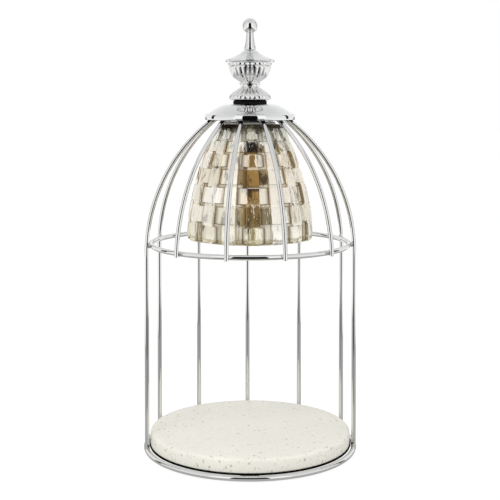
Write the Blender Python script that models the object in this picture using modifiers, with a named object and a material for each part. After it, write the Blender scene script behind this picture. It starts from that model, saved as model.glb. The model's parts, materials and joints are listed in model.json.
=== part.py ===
# Candle warmer lamp: a chromed wire cage on a stone disc, with a glass bell over a reflector bulb
# and an urn finial. Metres, +Z up, origin under the middle of the base, front towards -Y.
# Azimuths are in degrees from the front, growing towards +X.

import bmesh
import bpy
from math import atan2, cos, degrees, hypot, pi, radians, sin
from mathutils import Vector

# Clearances and shared details
GAP = 0.0003              # between pieces that touch on the real lamp
OVERRUN = 0.004           # how far a cutter passes the face that it cuts
MERGE = 0.00001           # merging distance of turned profiles

# Cage wires and rings
LEG_WIRE_DIAMETER = 0.0035
RING_WIRE_DIAMETER = 0.0040
LEG_CIRCLE_RADIUS = 0.0822
BASE_RING_HEIGHT = 0.0027
MID_RING_HEIGHT = 0.1631
ARCH_SPRING_HEIGHT = 0.1572
LEG_TOP_HEIGHT = 0.2665
LEG_TOP_BEND_RADIUS = 0.0080
LEG_TOP_BEND_PLACE = 0.0203       # from the axis to the middle of the top bend
LEG_INNER_END_RADIUS = 0.0150
LEG_AZIMUTHS = (84.5, 114.0, 149.3, 181.5, 212.1, 245.1, 281.7)
RIB_AZIMUTHS = (-41.5, -12.1, 18.2, 47.9)

# Crown: what joins the wires at the top
CROWN_PLATE_RADIUS = 0.0210
CROWN_PLATE_THICKNESS = 0.0020
NIPPLE_RADIUS = 0.0050
NIPPLE_BORE_RADIUS = 0.0035
NIPPLE_STAND_IN_FINIAL = 0.0080
NUT_ACROSS_FLATS = 0.0140
TOP_NUT_THICKNESS = 0.0030
THIN_NUT_THICKNESS = 0.0025
SLEEVE_NUT_ACROSS_FLATS = 0.0130
SPACER_WALL = 0.0022
CANOPY_RADIUS = 0.0355
CANOPY_WALL = 0.0008
CANOPY_BAND_HEIGHT = 0.0043
CANOPY_DOME_HEIGHT = 0.0078
CANOPY_OVERHANG = 0.0053          # of its rim below the top of the wires
CANOPY_SEAT_RADIUS = 0.0135
CANOPY_SLOPE_SHARES = ((0, 0), (0.25, 0.11), (0.49, 0.25), (0.71, 0.58), (0.92, 0.94), (1, 1))

# Cable inlet, in the slope of the canopy at the back
BUSHING_AZIMUTH = 165.4
BUSHING_PLACE_SHARE = 0.70
BUSHING_BORE_RADIUS = 0.0029
BUSHING_NECK_RADIUS = 0.0040
BUSHING_FLANGE_RADIUS = 0.0056
BUSHING_OUTER_FLANGE = 0.0015
BUSHING_INNER_FLANGE = 0.0012
BUSHING_INNER_PLAY = 0.0014
BUSHING_OUTER_PLAY = 0.0005

# Lampholder
SLEEVE_PLATE_THICKNESS = 0.0015
SLEEVE_FLANGE_RADIUS = 0.0200
SLEEVE_RADIUS = 0.0149
SLEEVE_BORE_RADIUS = 0.0131
SLEEVE_LEDGE_RADIUS = 0.0122
SLEEVE_LENGTH = 0.0230
CERAMIC_HEIGHT = 0.0175
LEAD_SPACE = 0.0040
HOLDER_SCREW_RADIUS = 0.0015
HOLDER_SCREW_HEAD_RADIUS = 0.0023
HOLDER_SCREW_HEAD_HEIGHT = 0.0018
HOLDER_SCREW_OFFSET = 0.0096
PIN_CIRCLE_RADIUS = 0.0050
PIN_POCKET_RADIUS = 0.0027
PIN_POCKET_DEPTH = 0.0090
PIN_TURN = 20.0
CONTACT_SIDE = 0.0034
CONTACT_THICKNESS = 0.0008
LEAD_RADIUS = 0.0008
LEAD_BEND_RADIUS = 0.0018
LEAD_OFFSET = 0.0094
LEAD_HOLE_SETBACK = 0.0052
CRIMP_RADIUS = 0.0020
CRIMP_LENGTH = 0.0085

# Reflector bulb
BULB_BASE_RADIUS = 0.0124
BULB_BASE_HEIGHT = 0.0100
BULB_PLUG_RADIUS = 0.0108
BULB_PLUG_LENGTH = 0.0070
BULB_RADIUS = 0.0250
REFLECTOR_HEIGHT = 0.0325
REFLECTOR_WALL = 0.0012
REFLECTOR_SHARES = ((0, 0), (0.12, 0.27), (0.28, 0.45), (0.5, 0.65), (0.75, 0.84), (1, 1))
LENS_THICKNESS = 0.0032
PIN_NECK_RADIUS = 0.0015
PIN_NECK_LENGTH = 0.0040
PIN_HEAD_RADIUS = 0.00235
PIN_HEAD_LENGTH = 0.0026
CAPSULE_RADIUS = 0.0042
CAPSULE_LENGTH = 0.0165

# Glass shade
SHADE_RADIUS = 0.04985
SHADE_WIDEST_HEIGHT = 0.1732
SHADE_SHOULDER_RADIUS = 0.0265
SHADE_CURVE_POWER = 1.54
SHADE_MOUTH_HEIGHT = 0.1677
SHADE_WALL = 0.0030
SHADE_RELIEF = 0.0019
SHADE_SHOULDER_DROP = 0.0016
SHADE_SHOULDER_SETBACK = 0.0022
SHADE_LIP = 0.0008
SHADE_COLUMNS = 16
SHADE_ROW_SHARES = (0.0, 0.163, 0.335, 0.500, 0.652, 0.778, 0.889, 1.0)
SHADE_WEAVE_TURN = 3.2            # degrees from the front to the middle of the first column
# The weave: edges in shares of a column and of a row from their middles, heights in shares of
# the relief, and dives in shares of the relief for each column or row
STRAND_EDGE_SHARES = (-0.30, -0.26, 0.26, 0.30)
ROW_EDGE_SHARES = (-0.44, -0.39, 0.39, 0.44)
LEVEL_RISE_SHARE = 0.41
LEVEL_HEIGHT_SHARE = 0.88
LEVEL_FLAT_SHARE = 0.26
LEVEL_DIVE_SHARE = 1.75
UPRIGHT_HALF_SHARE = 0.28
UPRIGHT_REACH_SHARE = 0.60
UPRIGHT_FLAT_SHARE = 0.42
UPRIGHT_DIVE_SHARE = 2.2
SHADE_WASHER_THICKNESS = 0.0010
SHADE_RING_RADIUS = 0.0195
SHADE_RING_HEIGHT = 0.0060
SHADE_RING_BEVEL = 0.0010

# Finial, from its gasket upwards
GASKET_RADIUS = 0.0132
GASKET_THICKNESS = 0.0020
FLUTES = 22
FOOT_HEIGHT = 0.0119
FOOT_RADIUS = 0.0166
FOOT_BORE_DEPTH = 0.0083
WAIST_RADIUS = 0.0072
BOWL_HEIGHT = 0.0179
BOWL_RADIUS = 0.0173
BOWL_BOTTOM_RADIUS = 0.0074
FLUTE_DEPTH = 0.0009
LID_RADIUS = 0.0195
LID_EDGE = 0.0017
LID_HEIGHT = 0.0093
LID_NECK_RADIUS = 0.0062
SPINDLE_BASE_RADIUS = 0.0046
SPINDLE_HEIGHT = 0.0140
SPINDLE_NECK_RADIUS = 0.0031
BALL_RADIUS = 0.0061
STUD_RADIUS = 0.0020
STUD_REACH_IN_SPINDLE = 0.0088
# Shares of a piece's height with the shares of its radius there; for the lid, out and up
FOOT_SHARES = ((0.87, 0.48), (0.63, 0.78), (0.45, 0.91), (0.28, 1), (0.08, 0.91), (0, 0.78))
BOWL_SHARES = ((1, 1), (0.67, 0.92), (0.46, 0.85), (0.30, 0.757), (0.14, 0.53))
LID_SHARES = ((0, 1), (0.22, 0.63), (0.48, 0.36), (0.79, 0.17), (1, 0))
SPINDLE_SHARES = ((0.52, 0.79), (0.14, 1), (0, 0.85))
FOOT_FLUTED_SHARE = 0.8
BOWL_FLUTED_SHARE = 1.1

# Base
STONE_CLEARANCE = 0.00145
STONE_THICKNESS = 0.0109
STONE_EDGE_RADIUS = 0.0025
STONE_BOTTOM_CHAMFER = 0.0008
CROSS_THICKNESS = 0.0015
CROSS_WIDTH = 0.0140
FOOT_PAD_RADIUS = 0.0055
FOOT_PAD_HEIGHT = 0.0022
FOOT_PAD_SETBACK = 0.0139
STONE_PAD_THICKNESS = 0.0007
STONE_PAD_SETBACK = 0.0090
STONE_PAD_WIDTH = 0.0180
INSERT_RADIUS = 0.0040
INSERT_LENGTH = 0.0070
BASE_SCREW_RADIUS = 0.0019
BASE_SCREW_HEAD_RADIUS = 0.0040
BASE_SCREW_HEAD_HEIGHT = 0.0013
BASE_SCREW_REACH = 0.0062

# Segments round each kind of turned piece, the twist of a round cutter, and the angle, in
# degrees both, above which an edge stays sharp
FINE, MEDIUM, PLAIN, COARSE = 48, 32, 24, 16
CUTTER_TWIST = 13.0
SHARP_ANGLE = 35.0


# Heights that follow from the sizes above
LEG_RADIUS = LEG_WIRE_DIAMETER / 2
RING_RADIUS = RING_WIRE_DIAMETER / 2
BEND_CENTRE_HEIGHT = LEG_TOP_HEIGHT - LEG_TOP_BEND_RADIUS

# The arch is the circle that leaves the legs upright and runs smoothly into the top bend
ARCH_RUN = LEG_CIRCLE_RADIUS - LEG_TOP_BEND_PLACE
ARCH_RISE = BEND_CENTRE_HEIGHT - ARCH_SPRING_HEIGHT
ARCH_RADIUS = ((ARCH_RUN ** 2 + ARCH_RISE ** 2 - LEG_TOP_BEND_RADIUS ** 2)
               / (2 * (ARCH_RUN - LEG_TOP_BEND_RADIUS)))
ARCH_CENTRE_RADIUS = LEG_CIRCLE_RADIUS - ARCH_RADIUS
ARCH_SWEEP = degrees(atan2(ARCH_RISE, LEG_TOP_BEND_PLACE - ARCH_CENTRE_RADIUS))

CROWN_PLATE_TOP = LEG_TOP_HEIGHT - LEG_RADIUS - GAP
CROWN_PLATE_BOTTOM = CROWN_PLATE_TOP - CROWN_PLATE_THICKNESS
SLEEVE_TOP = CROWN_PLATE_BOTTOM - GAP - THIN_NUT_THICKNESS - GAP
SLEEVE_PLATE_BOTTOM = SLEEVE_TOP - SLEEVE_PLATE_THICKNESS
SLEEVE_NUT_BOTTOM = SLEEVE_PLATE_BOTTOM - GAP - THIN_NUT_THICKNESS
CERAMIC_TOP = SLEEVE_NUT_BOTTOM - LEAD_SPACE
CERAMIC_BOTTOM = CERAMIC_TOP - CERAMIC_HEIGHT
BULB_TOP = CERAMIC_BOTTOM - GAP
REFLECTOR_TOP = BULB_TOP - BULB_BASE_HEIGHT - GAP
REFLECTOR_BOTTOM = REFLECTOR_TOP - REFLECTOR_HEIGHT
PLUG_BOTTOM = BULB_TOP - BULB_BASE_HEIGHT - BULB_PLUG_LENGTH
SHADE_TOP = SLEEVE_PLATE_BOTTOM - GAP
SHADE_SHOULDER_HEIGHT = SHADE_TOP - SHADE_SHOULDER_DROP
SHADE_SHOULDER_SHARE = SHADE_SHOULDER_RADIUS / SHADE_RADIUS
SHADE_CURVE_HEIGHT = ((SHADE_SHOULDER_HEIGHT - SHADE_WIDEST_HEIGHT)
                      / (1 - SHADE_SHOULDER_SHARE ** SHADE_CURVE_POWER) ** (1 / SHADE_CURVE_POWER))
WASHER_TOP = SHADE_TOP - SHADE_WALL - GAP
SHADE_RING_TOP = WASHER_TOP - SHADE_WASHER_THICKNESS - GAP
CANOPY_RIM_HEIGHT = LEG_TOP_HEIGHT - CANOPY_OVERHANG
CANOPY_TOP_HEIGHT = CANOPY_RIM_HEIGHT + CANOPY_BAND_HEIGHT + CANOPY_DOME_HEIGHT
GASKET_BOTTOM = CANOPY_TOP_HEIGHT + GAP
FINIAL_BOTTOM = GASKET_BOTTOM + GASKET_THICKNESS + GAP
BOWL_BOTTOM = FINIAL_BOTTOM + FOOT_HEIGHT + GAP
LID_BOTTOM = BOWL_BOTTOM + BOWL_HEIGHT + GAP
SPINDLE_BOTTOM = LID_BOTTOM + LID_HEIGHT + GAP
CROSS_BOTTOM = FOOT_PAD_HEIGHT + GAP
CROSS_TOP = CROSS_BOTTOM + CROSS_THICKNESS
STONE_BOTTOM = CROSS_TOP + GAP + STONE_PAD_THICKNESS + GAP
STONE_TOP = STONE_BOTTOM + STONE_THICKNESS
STONE_RADIUS = LEG_CIRCLE_RADIUS - LEG_RADIUS - STONE_CLEARANCE
STONE_PAD_OUTER_RADIUS = STONE_RADIUS - STONE_PAD_SETBACK
STONE_PAD_INNER_RADIUS = STONE_PAD_OUTER_RADIUS - STONE_PAD_WIDTH
CROSS_ARM_END = LEG_CIRCLE_RADIUS - RING_RADIUS - GAP
FOOT_PAD_CIRCLE_RADIUS = CROSS_ARM_END - FOOT_PAD_SETBACK


def clear_scene():
    for old in list(bpy.data.objects):
        bpy.data.objects.remove(old, do_unlink=True)
    for old in list(bpy.data.collections):
        bpy.data.collections.remove(old)


def new_collection(name):
    made = bpy.data.collections.new(name)
    bpy.context.scene.collection.children.link(made)
    return made


clear_scene()
PARTS = new_collection("candle_warmer_lamp")
CUTTERS = new_collection("cutters")


def finish(name, colour, roughness, metallic, transmission=0.0):
    made = bpy.data.materials.new(name)
    made.use_nodes = True
    shader = made.node_tree.nodes["Principled BSDF"]
    shader.inputs["Base Color"].default_value = (*colour, 1.0)
    shader.inputs["Roughness"].default_value = roughness
    shader.inputs["Metallic"].default_value = metallic
    shader.inputs["Transmission Weight"].default_value = transmission
    return made


CHROME = finish("chrome", (0.86, 0.86, 0.87), 0.06, 1.0)
STEEL = finish("zinc_plated_steel", (0.62, 0.63, 0.64), 0.35, 1.0)
BRASS = finish("brass", (0.80, 0.62, 0.30), 0.28, 1.0)
PLATED_GLASS = finish("champagne_plated_glass", (0.78, 0.71, 0.60), 0.10, 0.75)
CLEAR_GLASS = finish("clear_glass", (0.95, 0.96, 0.96), 0.03, 0.0, 0.9)
MIRROR_COAT = finish("reflector_coat", (0.88, 0.87, 0.84), 0.12, 1.0)
STONE = finish("speckled_stone", (0.80, 0.78, 0.70), 0.45, 0.0)
RUBBER = finish("black_rubber", (0.02, 0.02, 0.02), 0.70, 0.0)
CERAMIC = finish("white_ceramic", (0.86, 0.85, 0.81), 0.40, 0.0)
FOAM = finish("grey_foam", (0.30, 0.30, 0.30), 0.90, 0.0)
SLEEVE_PLASTIC = finish("white_sleeve", (0.82, 0.80, 0.75), 0.38, 0.0)
LEAD_JACKET = finish("lead_silicone", (0.80, 0.79, 0.76), 0.55, 0.0)


def add_object(name, data, material, collection=None):
    made = bpy.data.objects.new(name, data)
    (collection or PARTS).objects.link(made)
    if not data.materials:
        data.materials.append(material)
    return made


def mesh_from(bm, name):
    bmesh.ops.recalc_face_normals(bm, faces=bm.faces)
    mesh = bpy.data.meshes.new(name)
    bm.to_mesh(mesh)
    bm.free()
    return mesh


def baked(made):
    """The object's evaluated shape as its own mesh, with the modifiers gone."""
    bpy.context.view_layer.update()
    shape = made.evaluated_get(bpy.context.evaluated_depsgraph_get())
    mesh = bpy.data.meshes.new_from_object(shape)
    made.modifiers.clear()
    made.data = mesh
    return made


def turned(name, profile, material, segments=MEDIUM, closed=False, collection=None):
    """A profile of (radius, height) pairs, down its outer side, turned about Z."""
    mesh = bpy.data.meshes.new(name)
    edges = [(i, i + 1) for i in range(len(profile) - 1)]
    if closed:
        edges.append((len(profile) - 1, 0))
    mesh.from_pydata([(r, 0, z) for r, z in profile], edges, [])
    made = add_object(name, mesh, material, collection)
    screw = made.modifiers.new("turn", "SCREW")
    screw.axis = "Z"
    screw.angle = 2 * pi
    screw.steps = screw.render_steps = segments
    screw.use_merge_vertices = True
    screw.merge_threshold = MERGE
    screw.use_smooth_shade = True
    return made


def tube_between(name, outer, inner, top, bottom, material, segments=MEDIUM):
    profile = [(outer, top), (outer, bottom), (inner, bottom), (inner, top)]
    return turned(name, profile, material, segments, closed=True)


def rod(name, radius, top, bottom, material, segments=COARSE, collection=None):
    profile = [(0, top), (radius, top), (radius, bottom), (0, bottom)]
    return turned(name, profile, material, segments, collection=collection)


def arc(centre, radius, start, end, steps):
    """Points of an arc in the plane, angles in degrees, both ends included."""
    points = []
    for i in range(steps + 1):
        angle = radians(start + (end - start) * i / steps)
        points.append((centre[0] + radius * cos(angle), centre[1] + radius * sin(angle)))
    return points


def wire(name, points, radius, material):
    curve = bpy.data.curves.new(name, "CURVE")
    curve.dimensions = "3D"
    curve.bevel_depth = radius
    curve.bevel_resolution = 1
    curve.use_fill_caps = True
    spline = curve.splines.new("POLY")
    spline.points.add(len(points) - 1)
    for point, place in zip(spline.points, points):
        point.co = (*place, 1)
    curve.materials.append(material)
    return curve


def plate(name, outlines, top, bottom, material, collection=None):
    """A flat outline, with the outlines inside it as holes, given a thickness."""
    curve = bpy.data.curves.new(name, "CURVE")
    curve.dimensions = "2D"
    curve.fill_mode = "BOTH"
    curve.extrude = (top - bottom) / 2
    for outline in outlines:
        spline = curve.splines.new("POLY")
        spline.points.add(len(outline) - 1)
        for point, (x, y) in zip(spline.points, outline):
            point.co = (x, y, 0, 1)
        spline.use_cyclic_u = True
    made = add_object(name, curve, material, collection)
    made.location.z = (top + bottom) / 2
    return made


def circle(radius, sides, centre=(0, 0)):
    return arc(centre, radius, 0, 360, sides)[:-1]


def hex_nut(name, across_flats, hole, top, bottom, material):
    corner = across_flats / 2 / cos(pi / 6)
    outline = arc((0, 0), corner, 30, 390, 6)[:-1]
    return plate(name, [outline, circle(hole, COARSE)], top, bottom, material)


def as_mesh(made):
    """A curve object made a mesh object of the same name, closed and ready for a cut."""
    bpy.context.view_layer.update()
    shape = made.evaluated_get(bpy.context.evaluated_depsgraph_get())
    mesh = bpy.data.meshes.new_from_object(shape)
    bm = bmesh.new()
    bm.from_mesh(mesh)
    bmesh.ops.remove_doubles(bm, verts=bm.verts, dist=MERGE)
    bmesh.ops.recalc_face_normals(bm, faces=bm.faces)
    bm.to_mesh(mesh)
    bm.free()
    name, matrix, collection = made.name, made.matrix_world.copy(), made.users_collection[0]
    bpy.data.objects.remove(made)
    result = bpy.data.objects.new(name, mesh)
    collection.objects.link(result)
    result.matrix_world = matrix
    return result


def cut(made, cutter, twist=0.0):
    """Cuts one piece by another; the twist keeps the corners of the two round shapes apart."""
    cutter.display_type = "WIRE"
    cutter.rotation_euler.z += radians(twist)
    cutter.hide_render = True
    boolean = made.modifiers.new("cut", "BOOLEAN")
    boolean.operation = "DIFFERENCE"
    boolean.object = cutter
    return made


def arch_radius_at(height):
    """Radius of the wires' centreline at a height of the arch."""
    rise = max(height - ARCH_SPRING_HEIGHT, 0)
    return ARCH_CENTRE_RADIUS + (ARCH_RADIUS ** 2 - rise ** 2) ** 0.5


def cage_wire_points(foot_height, steps):
    """A cage wire in the plane of the front, from its foot to its inner end."""
    rise = max(foot_height - ARCH_SPRING_HEIGHT, 0)
    start = atan2(rise, (ARCH_RADIUS ** 2 - rise ** 2) ** 0.5) * 180 / pi
    arch = arc((ARCH_CENTRE_RADIUS, ARCH_SPRING_HEIGHT), ARCH_RADIUS, start, ARCH_SWEEP, steps)
    bend = arc((LEG_TOP_BEND_PLACE, BEND_CENTRE_HEIGHT), LEG_TOP_BEND_RADIUS, ARCH_SWEEP, 90, 3)
    path = arch + bend[1:] + [(LEG_INNER_END_RADIUS, LEG_TOP_HEIGHT)]
    if rise == 0:
        path.insert(0, (LEG_CIRCLE_RADIUS, foot_height))
    return [(0, -r, z) for r, z in path]


def make_cage():
    leg_foot = BASE_RING_HEIGHT + RING_RADIUS + GAP
    rib_foot = MID_RING_HEIGHT - RING_RADIUS
    leg_curve = wire("leg", cage_wire_points(leg_foot, 10), LEG_RADIUS, CHROME)
    rib_curve = wire("rib", cage_wire_points(rib_foot, 10), LEG_RADIUS, CHROME)
    for kind, curve, azimuths in (("leg", leg_curve, LEG_AZIMUTHS), ("front_rib", rib_curve, RIB_AZIMUTHS)):
        for number, azimuth in enumerate(azimuths, start=1):
            made = add_object(f"{kind}_{number}", curve, CHROME)
            made.rotation_euler.z = radians(azimuth)
    mid_radius = arch_radius_at(MID_RING_HEIGHT) - LEG_RADIUS - GAP - RING_RADIUS
    for name, radius, height in (
        ("base_ring", LEG_CIRCLE_RADIUS, BASE_RING_HEIGHT),
        ("mid_ring", mid_radius, MID_RING_HEIGHT),
    ):
        bpy.ops.mesh.primitive_torus_add(
            major_radius=radius, minor_radius=RING_RADIUS,
            major_segments=FINE, minor_segments=8, location=(0, 0, height))
        ring = bpy.context.object
        ring.name = name
        ring.data.materials.append(CHROME)
        for collection in list(ring.users_collection):
            collection.objects.unlink(ring)
        PARTS.objects.link(ring)


def make_base():
    half = CROSS_WIDTH / 2
    tip = (CROSS_ARM_END ** 2 - half ** 2) ** 0.5
    outline = []
    for quarter in range(4):
        turn = quarter * pi / 2
        for x, y in ((half, half), (tip, half), (CROSS_ARM_END, 0), (tip, -half)):
            outline.append((x * cos(turn) + y * sin(turn), y * cos(turn) - x * sin(turn)))
    screw_hole = circle(BASE_SCREW_RADIUS + GAP, COARSE)
    plate("base_cross", [outline, screw_hole], CROSS_TOP, CROSS_BOTTOM, STEEL)

    for number in range(4):
        turn = number * pi / 2
        pad = rod(f"rubber_foot_{number + 1}", FOOT_PAD_RADIUS, FOOT_PAD_HEIGHT, 0, RUBBER)
        pad.location.x = FOOT_PAD_CIRCLE_RADIUS * sin(turn)
        pad.location.y = -FOOT_PAD_CIRCLE_RADIUS * cos(turn)

    pad_bottom = CROSS_TOP + GAP
    tube_between("stone_pad", STONE_PAD_OUTER_RADIUS, STONE_PAD_INNER_RADIUS,
                 pad_bottom + STONE_PAD_THICKNESS, pad_bottom, FOAM, MEDIUM)

    socket_radius = INSERT_RADIUS + GAP
    socket_top = STONE_BOTTOM + INSERT_LENGTH + GAP
    edge = arc((STONE_RADIUS - STONE_EDGE_RADIUS, STONE_TOP - STONE_EDGE_RADIUS),
               STONE_EDGE_RADIUS, 90, 0, 3)
    stone = [(0, STONE_TOP)] + edge + [
        (STONE_RADIUS, STONE_BOTTOM + STONE_BOTTOM_CHAMFER),
        (STONE_RADIUS - STONE_BOTTOM_CHAMFER, STONE_BOTTOM),
        (socket_radius, STONE_BOTTOM), (socket_radius, socket_top), (0, socket_top)]
    turned("stone_disc", stone, STONE, FINE)
    tube_between("stone_insert", INSERT_RADIUS, BASE_SCREW_RADIUS + GAP,
                 STONE_BOTTOM + INSERT_LENGTH, STONE_BOTTOM, BRASS, COARSE)

    head_top = CROSS_BOTTOM - GAP
    head_bottom = head_top - BASE_SCREW_HEAD_HEIGHT
    screw_top = STONE_BOTTOM + BASE_SCREW_REACH
    turned("base_screw", [(0, screw_top), (BASE_SCREW_RADIUS, screw_top), (BASE_SCREW_RADIUS, head_top),
                          (BASE_SCREW_HEAD_RADIUS, head_top), (BASE_SCREW_HEAD_RADIUS, head_bottom),
                          (0, head_bottom)], STEEL, COARSE)


def canopy_slope():
    """The dome of the canopy from its flat seat to its band, as (radius, height)."""
    band_top = CANOPY_RIM_HEIGHT + CANOPY_BAND_HEIGHT
    drop = CANOPY_TOP_HEIGHT - band_top
    run = CANOPY_RADIUS - CANOPY_SEAT_RADIUS
    return [(CANOPY_SEAT_RADIUS + run * out, CANOPY_TOP_HEIGHT - drop * down)
            for out, down in CANOPY_SLOPE_SHARES]


def make_crown():
    hole = NIPPLE_RADIUS + GAP
    lead_hole = LEAD_RADIUS + GAP
    holes = [circle(hole, COARSE)]
    for side in (-1, 1):
        holes.append(circle(lead_hole, 8, (side * LEAD_OFFSET, -side * LEAD_HOLE_SETBACK)))
    plate("crown_plate", [circle(CROWN_PLATE_RADIUS, MEDIUM)] + holes,
          CROWN_PLATE_TOP, CROWN_PLATE_BOTTOM, STEEL)

    nut_bottom = CROWN_PLATE_TOP + GAP
    nut_top = nut_bottom + TOP_NUT_THICKNESS
    hex_nut("crown_nut_upper", NUT_ACROSS_FLATS, hole, nut_top, nut_bottom, STEEL)
    lower_top = CROWN_PLATE_BOTTOM - GAP
    hex_nut("crown_nut_lower", NUT_ACROSS_FLATS, hole, lower_top, lower_top - THIN_NUT_THICKNESS, STEEL)
    tube_between("canopy_spacer", hole + SPACER_WALL, hole,
                 CANOPY_TOP_HEIGHT - CANOPY_WALL - GAP, nut_top + GAP, STEEL, COARSE)
    tube_between("threaded_nipple", NIPPLE_RADIUS, NIPPLE_BORE_RADIUS,
                 FINIAL_BOTTOM + NIPPLE_STAND_IN_FINIAL, SLEEVE_NUT_BOTTOM - GAP, STEEL, COARSE)

    slope = canopy_slope()
    inner_rim = CANOPY_RADIUS - CANOPY_WALL
    inside = [(r - CANOPY_WALL / 2, z - CANOPY_WALL) for r, z in slope[1:-1]]
    profile = ([(hole, CANOPY_TOP_HEIGHT)] + slope + [(CANOPY_RADIUS, CANOPY_RIM_HEIGHT),
               (inner_rim, CANOPY_RIM_HEIGHT), (inner_rim, slope[-1][1] - CANOPY_WALL / 2)]
               + inside[::-1] + [(hole, CANOPY_TOP_HEIGHT - CANOPY_WALL)])
    canopy = turned("canopy", profile, CHROME, MEDIUM, closed=True)

    high, low = slope[2], slope[4]
    place = [a + (b - a) * BUSHING_PLACE_SHARE for a, b in zip(high, low)]
    tilt = atan2(high[1] - low[1], low[0] - high[0])
    place = (place[0], on_slope(slope, place[0]))
    under = -CANOPY_WALL - BUSHING_INNER_PLAY
    top = BUSHING_OUTER_PLAY + BUSHING_OUTER_FLANGE
    inner_flange_radius = BUSHING_FLANGE_RADIUS - 2 * GAP
    neck = [(BUSHING_FLANGE_RADIUS, top), (BUSHING_FLANGE_RADIUS, BUSHING_OUTER_PLAY),
            (BUSHING_NECK_RADIUS, BUSHING_OUTER_PLAY), (BUSHING_NECK_RADIUS, under),
            (inner_flange_radius, under), (inner_flange_radius, under - BUSHING_INNER_FLANGE),
            (BUSHING_BORE_RADIUS, under - BUSHING_INNER_FLANGE), (BUSHING_BORE_RADIUS, top)]
    bushing = turned("cable_bushing", neck, RUBBER, COARSE, closed=True)
    cutter = rod("bushing_hole", BUSHING_NECK_RADIUS + GAP, OVERRUN, -OVERRUN, STEEL, COARSE, CUTTERS)
    for made in (bushing, cutter):
        set_on_dome(made, place, tilt, BUSHING_AZIMUTH)
    cut(canopy, cutter)


def on_slope(slope, radius):
    """Height of the dome at a radius, by straight lines between its places."""
    for (r1, z1), (r2, z2) in zip(slope, slope[1:]):
        if r1 <= radius <= r2:
            return z1 + (z2 - z1) * (radius - r1) / (r2 - r1)
    return slope[-1][1]


def set_on_dome(made, place, tilt, azimuth):
    """Stands a piece on a round surface, its +Z along the outward normal there."""
    turn = radians(azimuth)
    made.location = (place[0] * sin(turn), -place[0] * cos(turn), place[1])
    made.rotation_euler = (tilt, 0, turn)


def make_sleeve():
    sleeve_bottom = SLEEVE_TOP - SLEEVE_LENGTH
    ledge = CERAMIC_TOP + GAP
    hole = NIPPLE_RADIUS + GAP
    profile = [(SLEEVE_FLANGE_RADIUS, SLEEVE_TOP), (SLEEVE_FLANGE_RADIUS, SLEEVE_PLATE_BOTTOM),
               (SLEEVE_RADIUS, SLEEVE_PLATE_BOTTOM), (SLEEVE_RADIUS, sleeve_bottom),
               (SLEEVE_BORE_RADIUS, sleeve_bottom), (SLEEVE_BORE_RADIUS, ledge),
               (SLEEVE_LEDGE_RADIUS, ledge), (SLEEVE_LEDGE_RADIUS, SLEEVE_PLATE_BOTTOM),
               (hole, SLEEVE_PLATE_BOTTOM), (hole, SLEEVE_TOP)]
    sleeve = turned("holder_sleeve", profile, SLEEVE_PLASTIC, PLAIN, closed=True)
    for side in (-1, 1):
        lead_cutter = rod("sleeve_lead_hole", LEAD_RADIUS + GAP, SLEEVE_TOP + OVERRUN,
                          SLEEVE_PLATE_BOTTOM - OVERRUN, STEEL, 8, CUTTERS)
        lead_cutter.location = (side * LEAD_OFFSET, -side * LEAD_HOLE_SETBACK, 0)
        cut(sleeve, lead_cutter, CUTTER_TWIST)
        screw_cutter = rod("sleeve_screw_hole", HOLDER_SCREW_RADIUS + GAP, SLEEVE_TOP + OVERRUN,
                           SLEEVE_PLATE_BOTTOM - OVERRUN, STEEL, 8, CUTTERS)
        screw_cutter.location.y = side * HOLDER_SCREW_OFFSET
        cut(sleeve, screw_cutter, CUTTER_TWIST)
    hex_nut("sleeve_nut", SLEEVE_NUT_ACROSS_FLATS, hole,
            SLEEVE_PLATE_BOTTOM - GAP, SLEEVE_NUT_BOTTOM, STEEL)


def pocket_outline(side):
    """A curved slot that lets a pin turn from its way in to its lock, seen from above."""
    lock = 90 - side * 90
    entry = lock - PIN_TURN
    outer = PIN_CIRCLE_RADIUS + PIN_POCKET_RADIUS
    inner = PIN_CIRCLE_RADIUS - PIN_POCKET_RADIUS

    def end_centre(angle):
        return (PIN_CIRCLE_RADIUS * cos(radians(angle)), PIN_CIRCLE_RADIUS * sin(radians(angle)))

    return (arc((0, 0), outer, entry, lock, 3)
            + arc(end_centre(lock), PIN_POCKET_RADIUS, lock, lock + 180, 5)[1:-1]
            + arc((0, 0), inner, lock, entry, 2)
            + arc(end_centre(entry), PIN_POCKET_RADIUS, entry + 180, entry + 360, 5)[1:-1])


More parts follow.
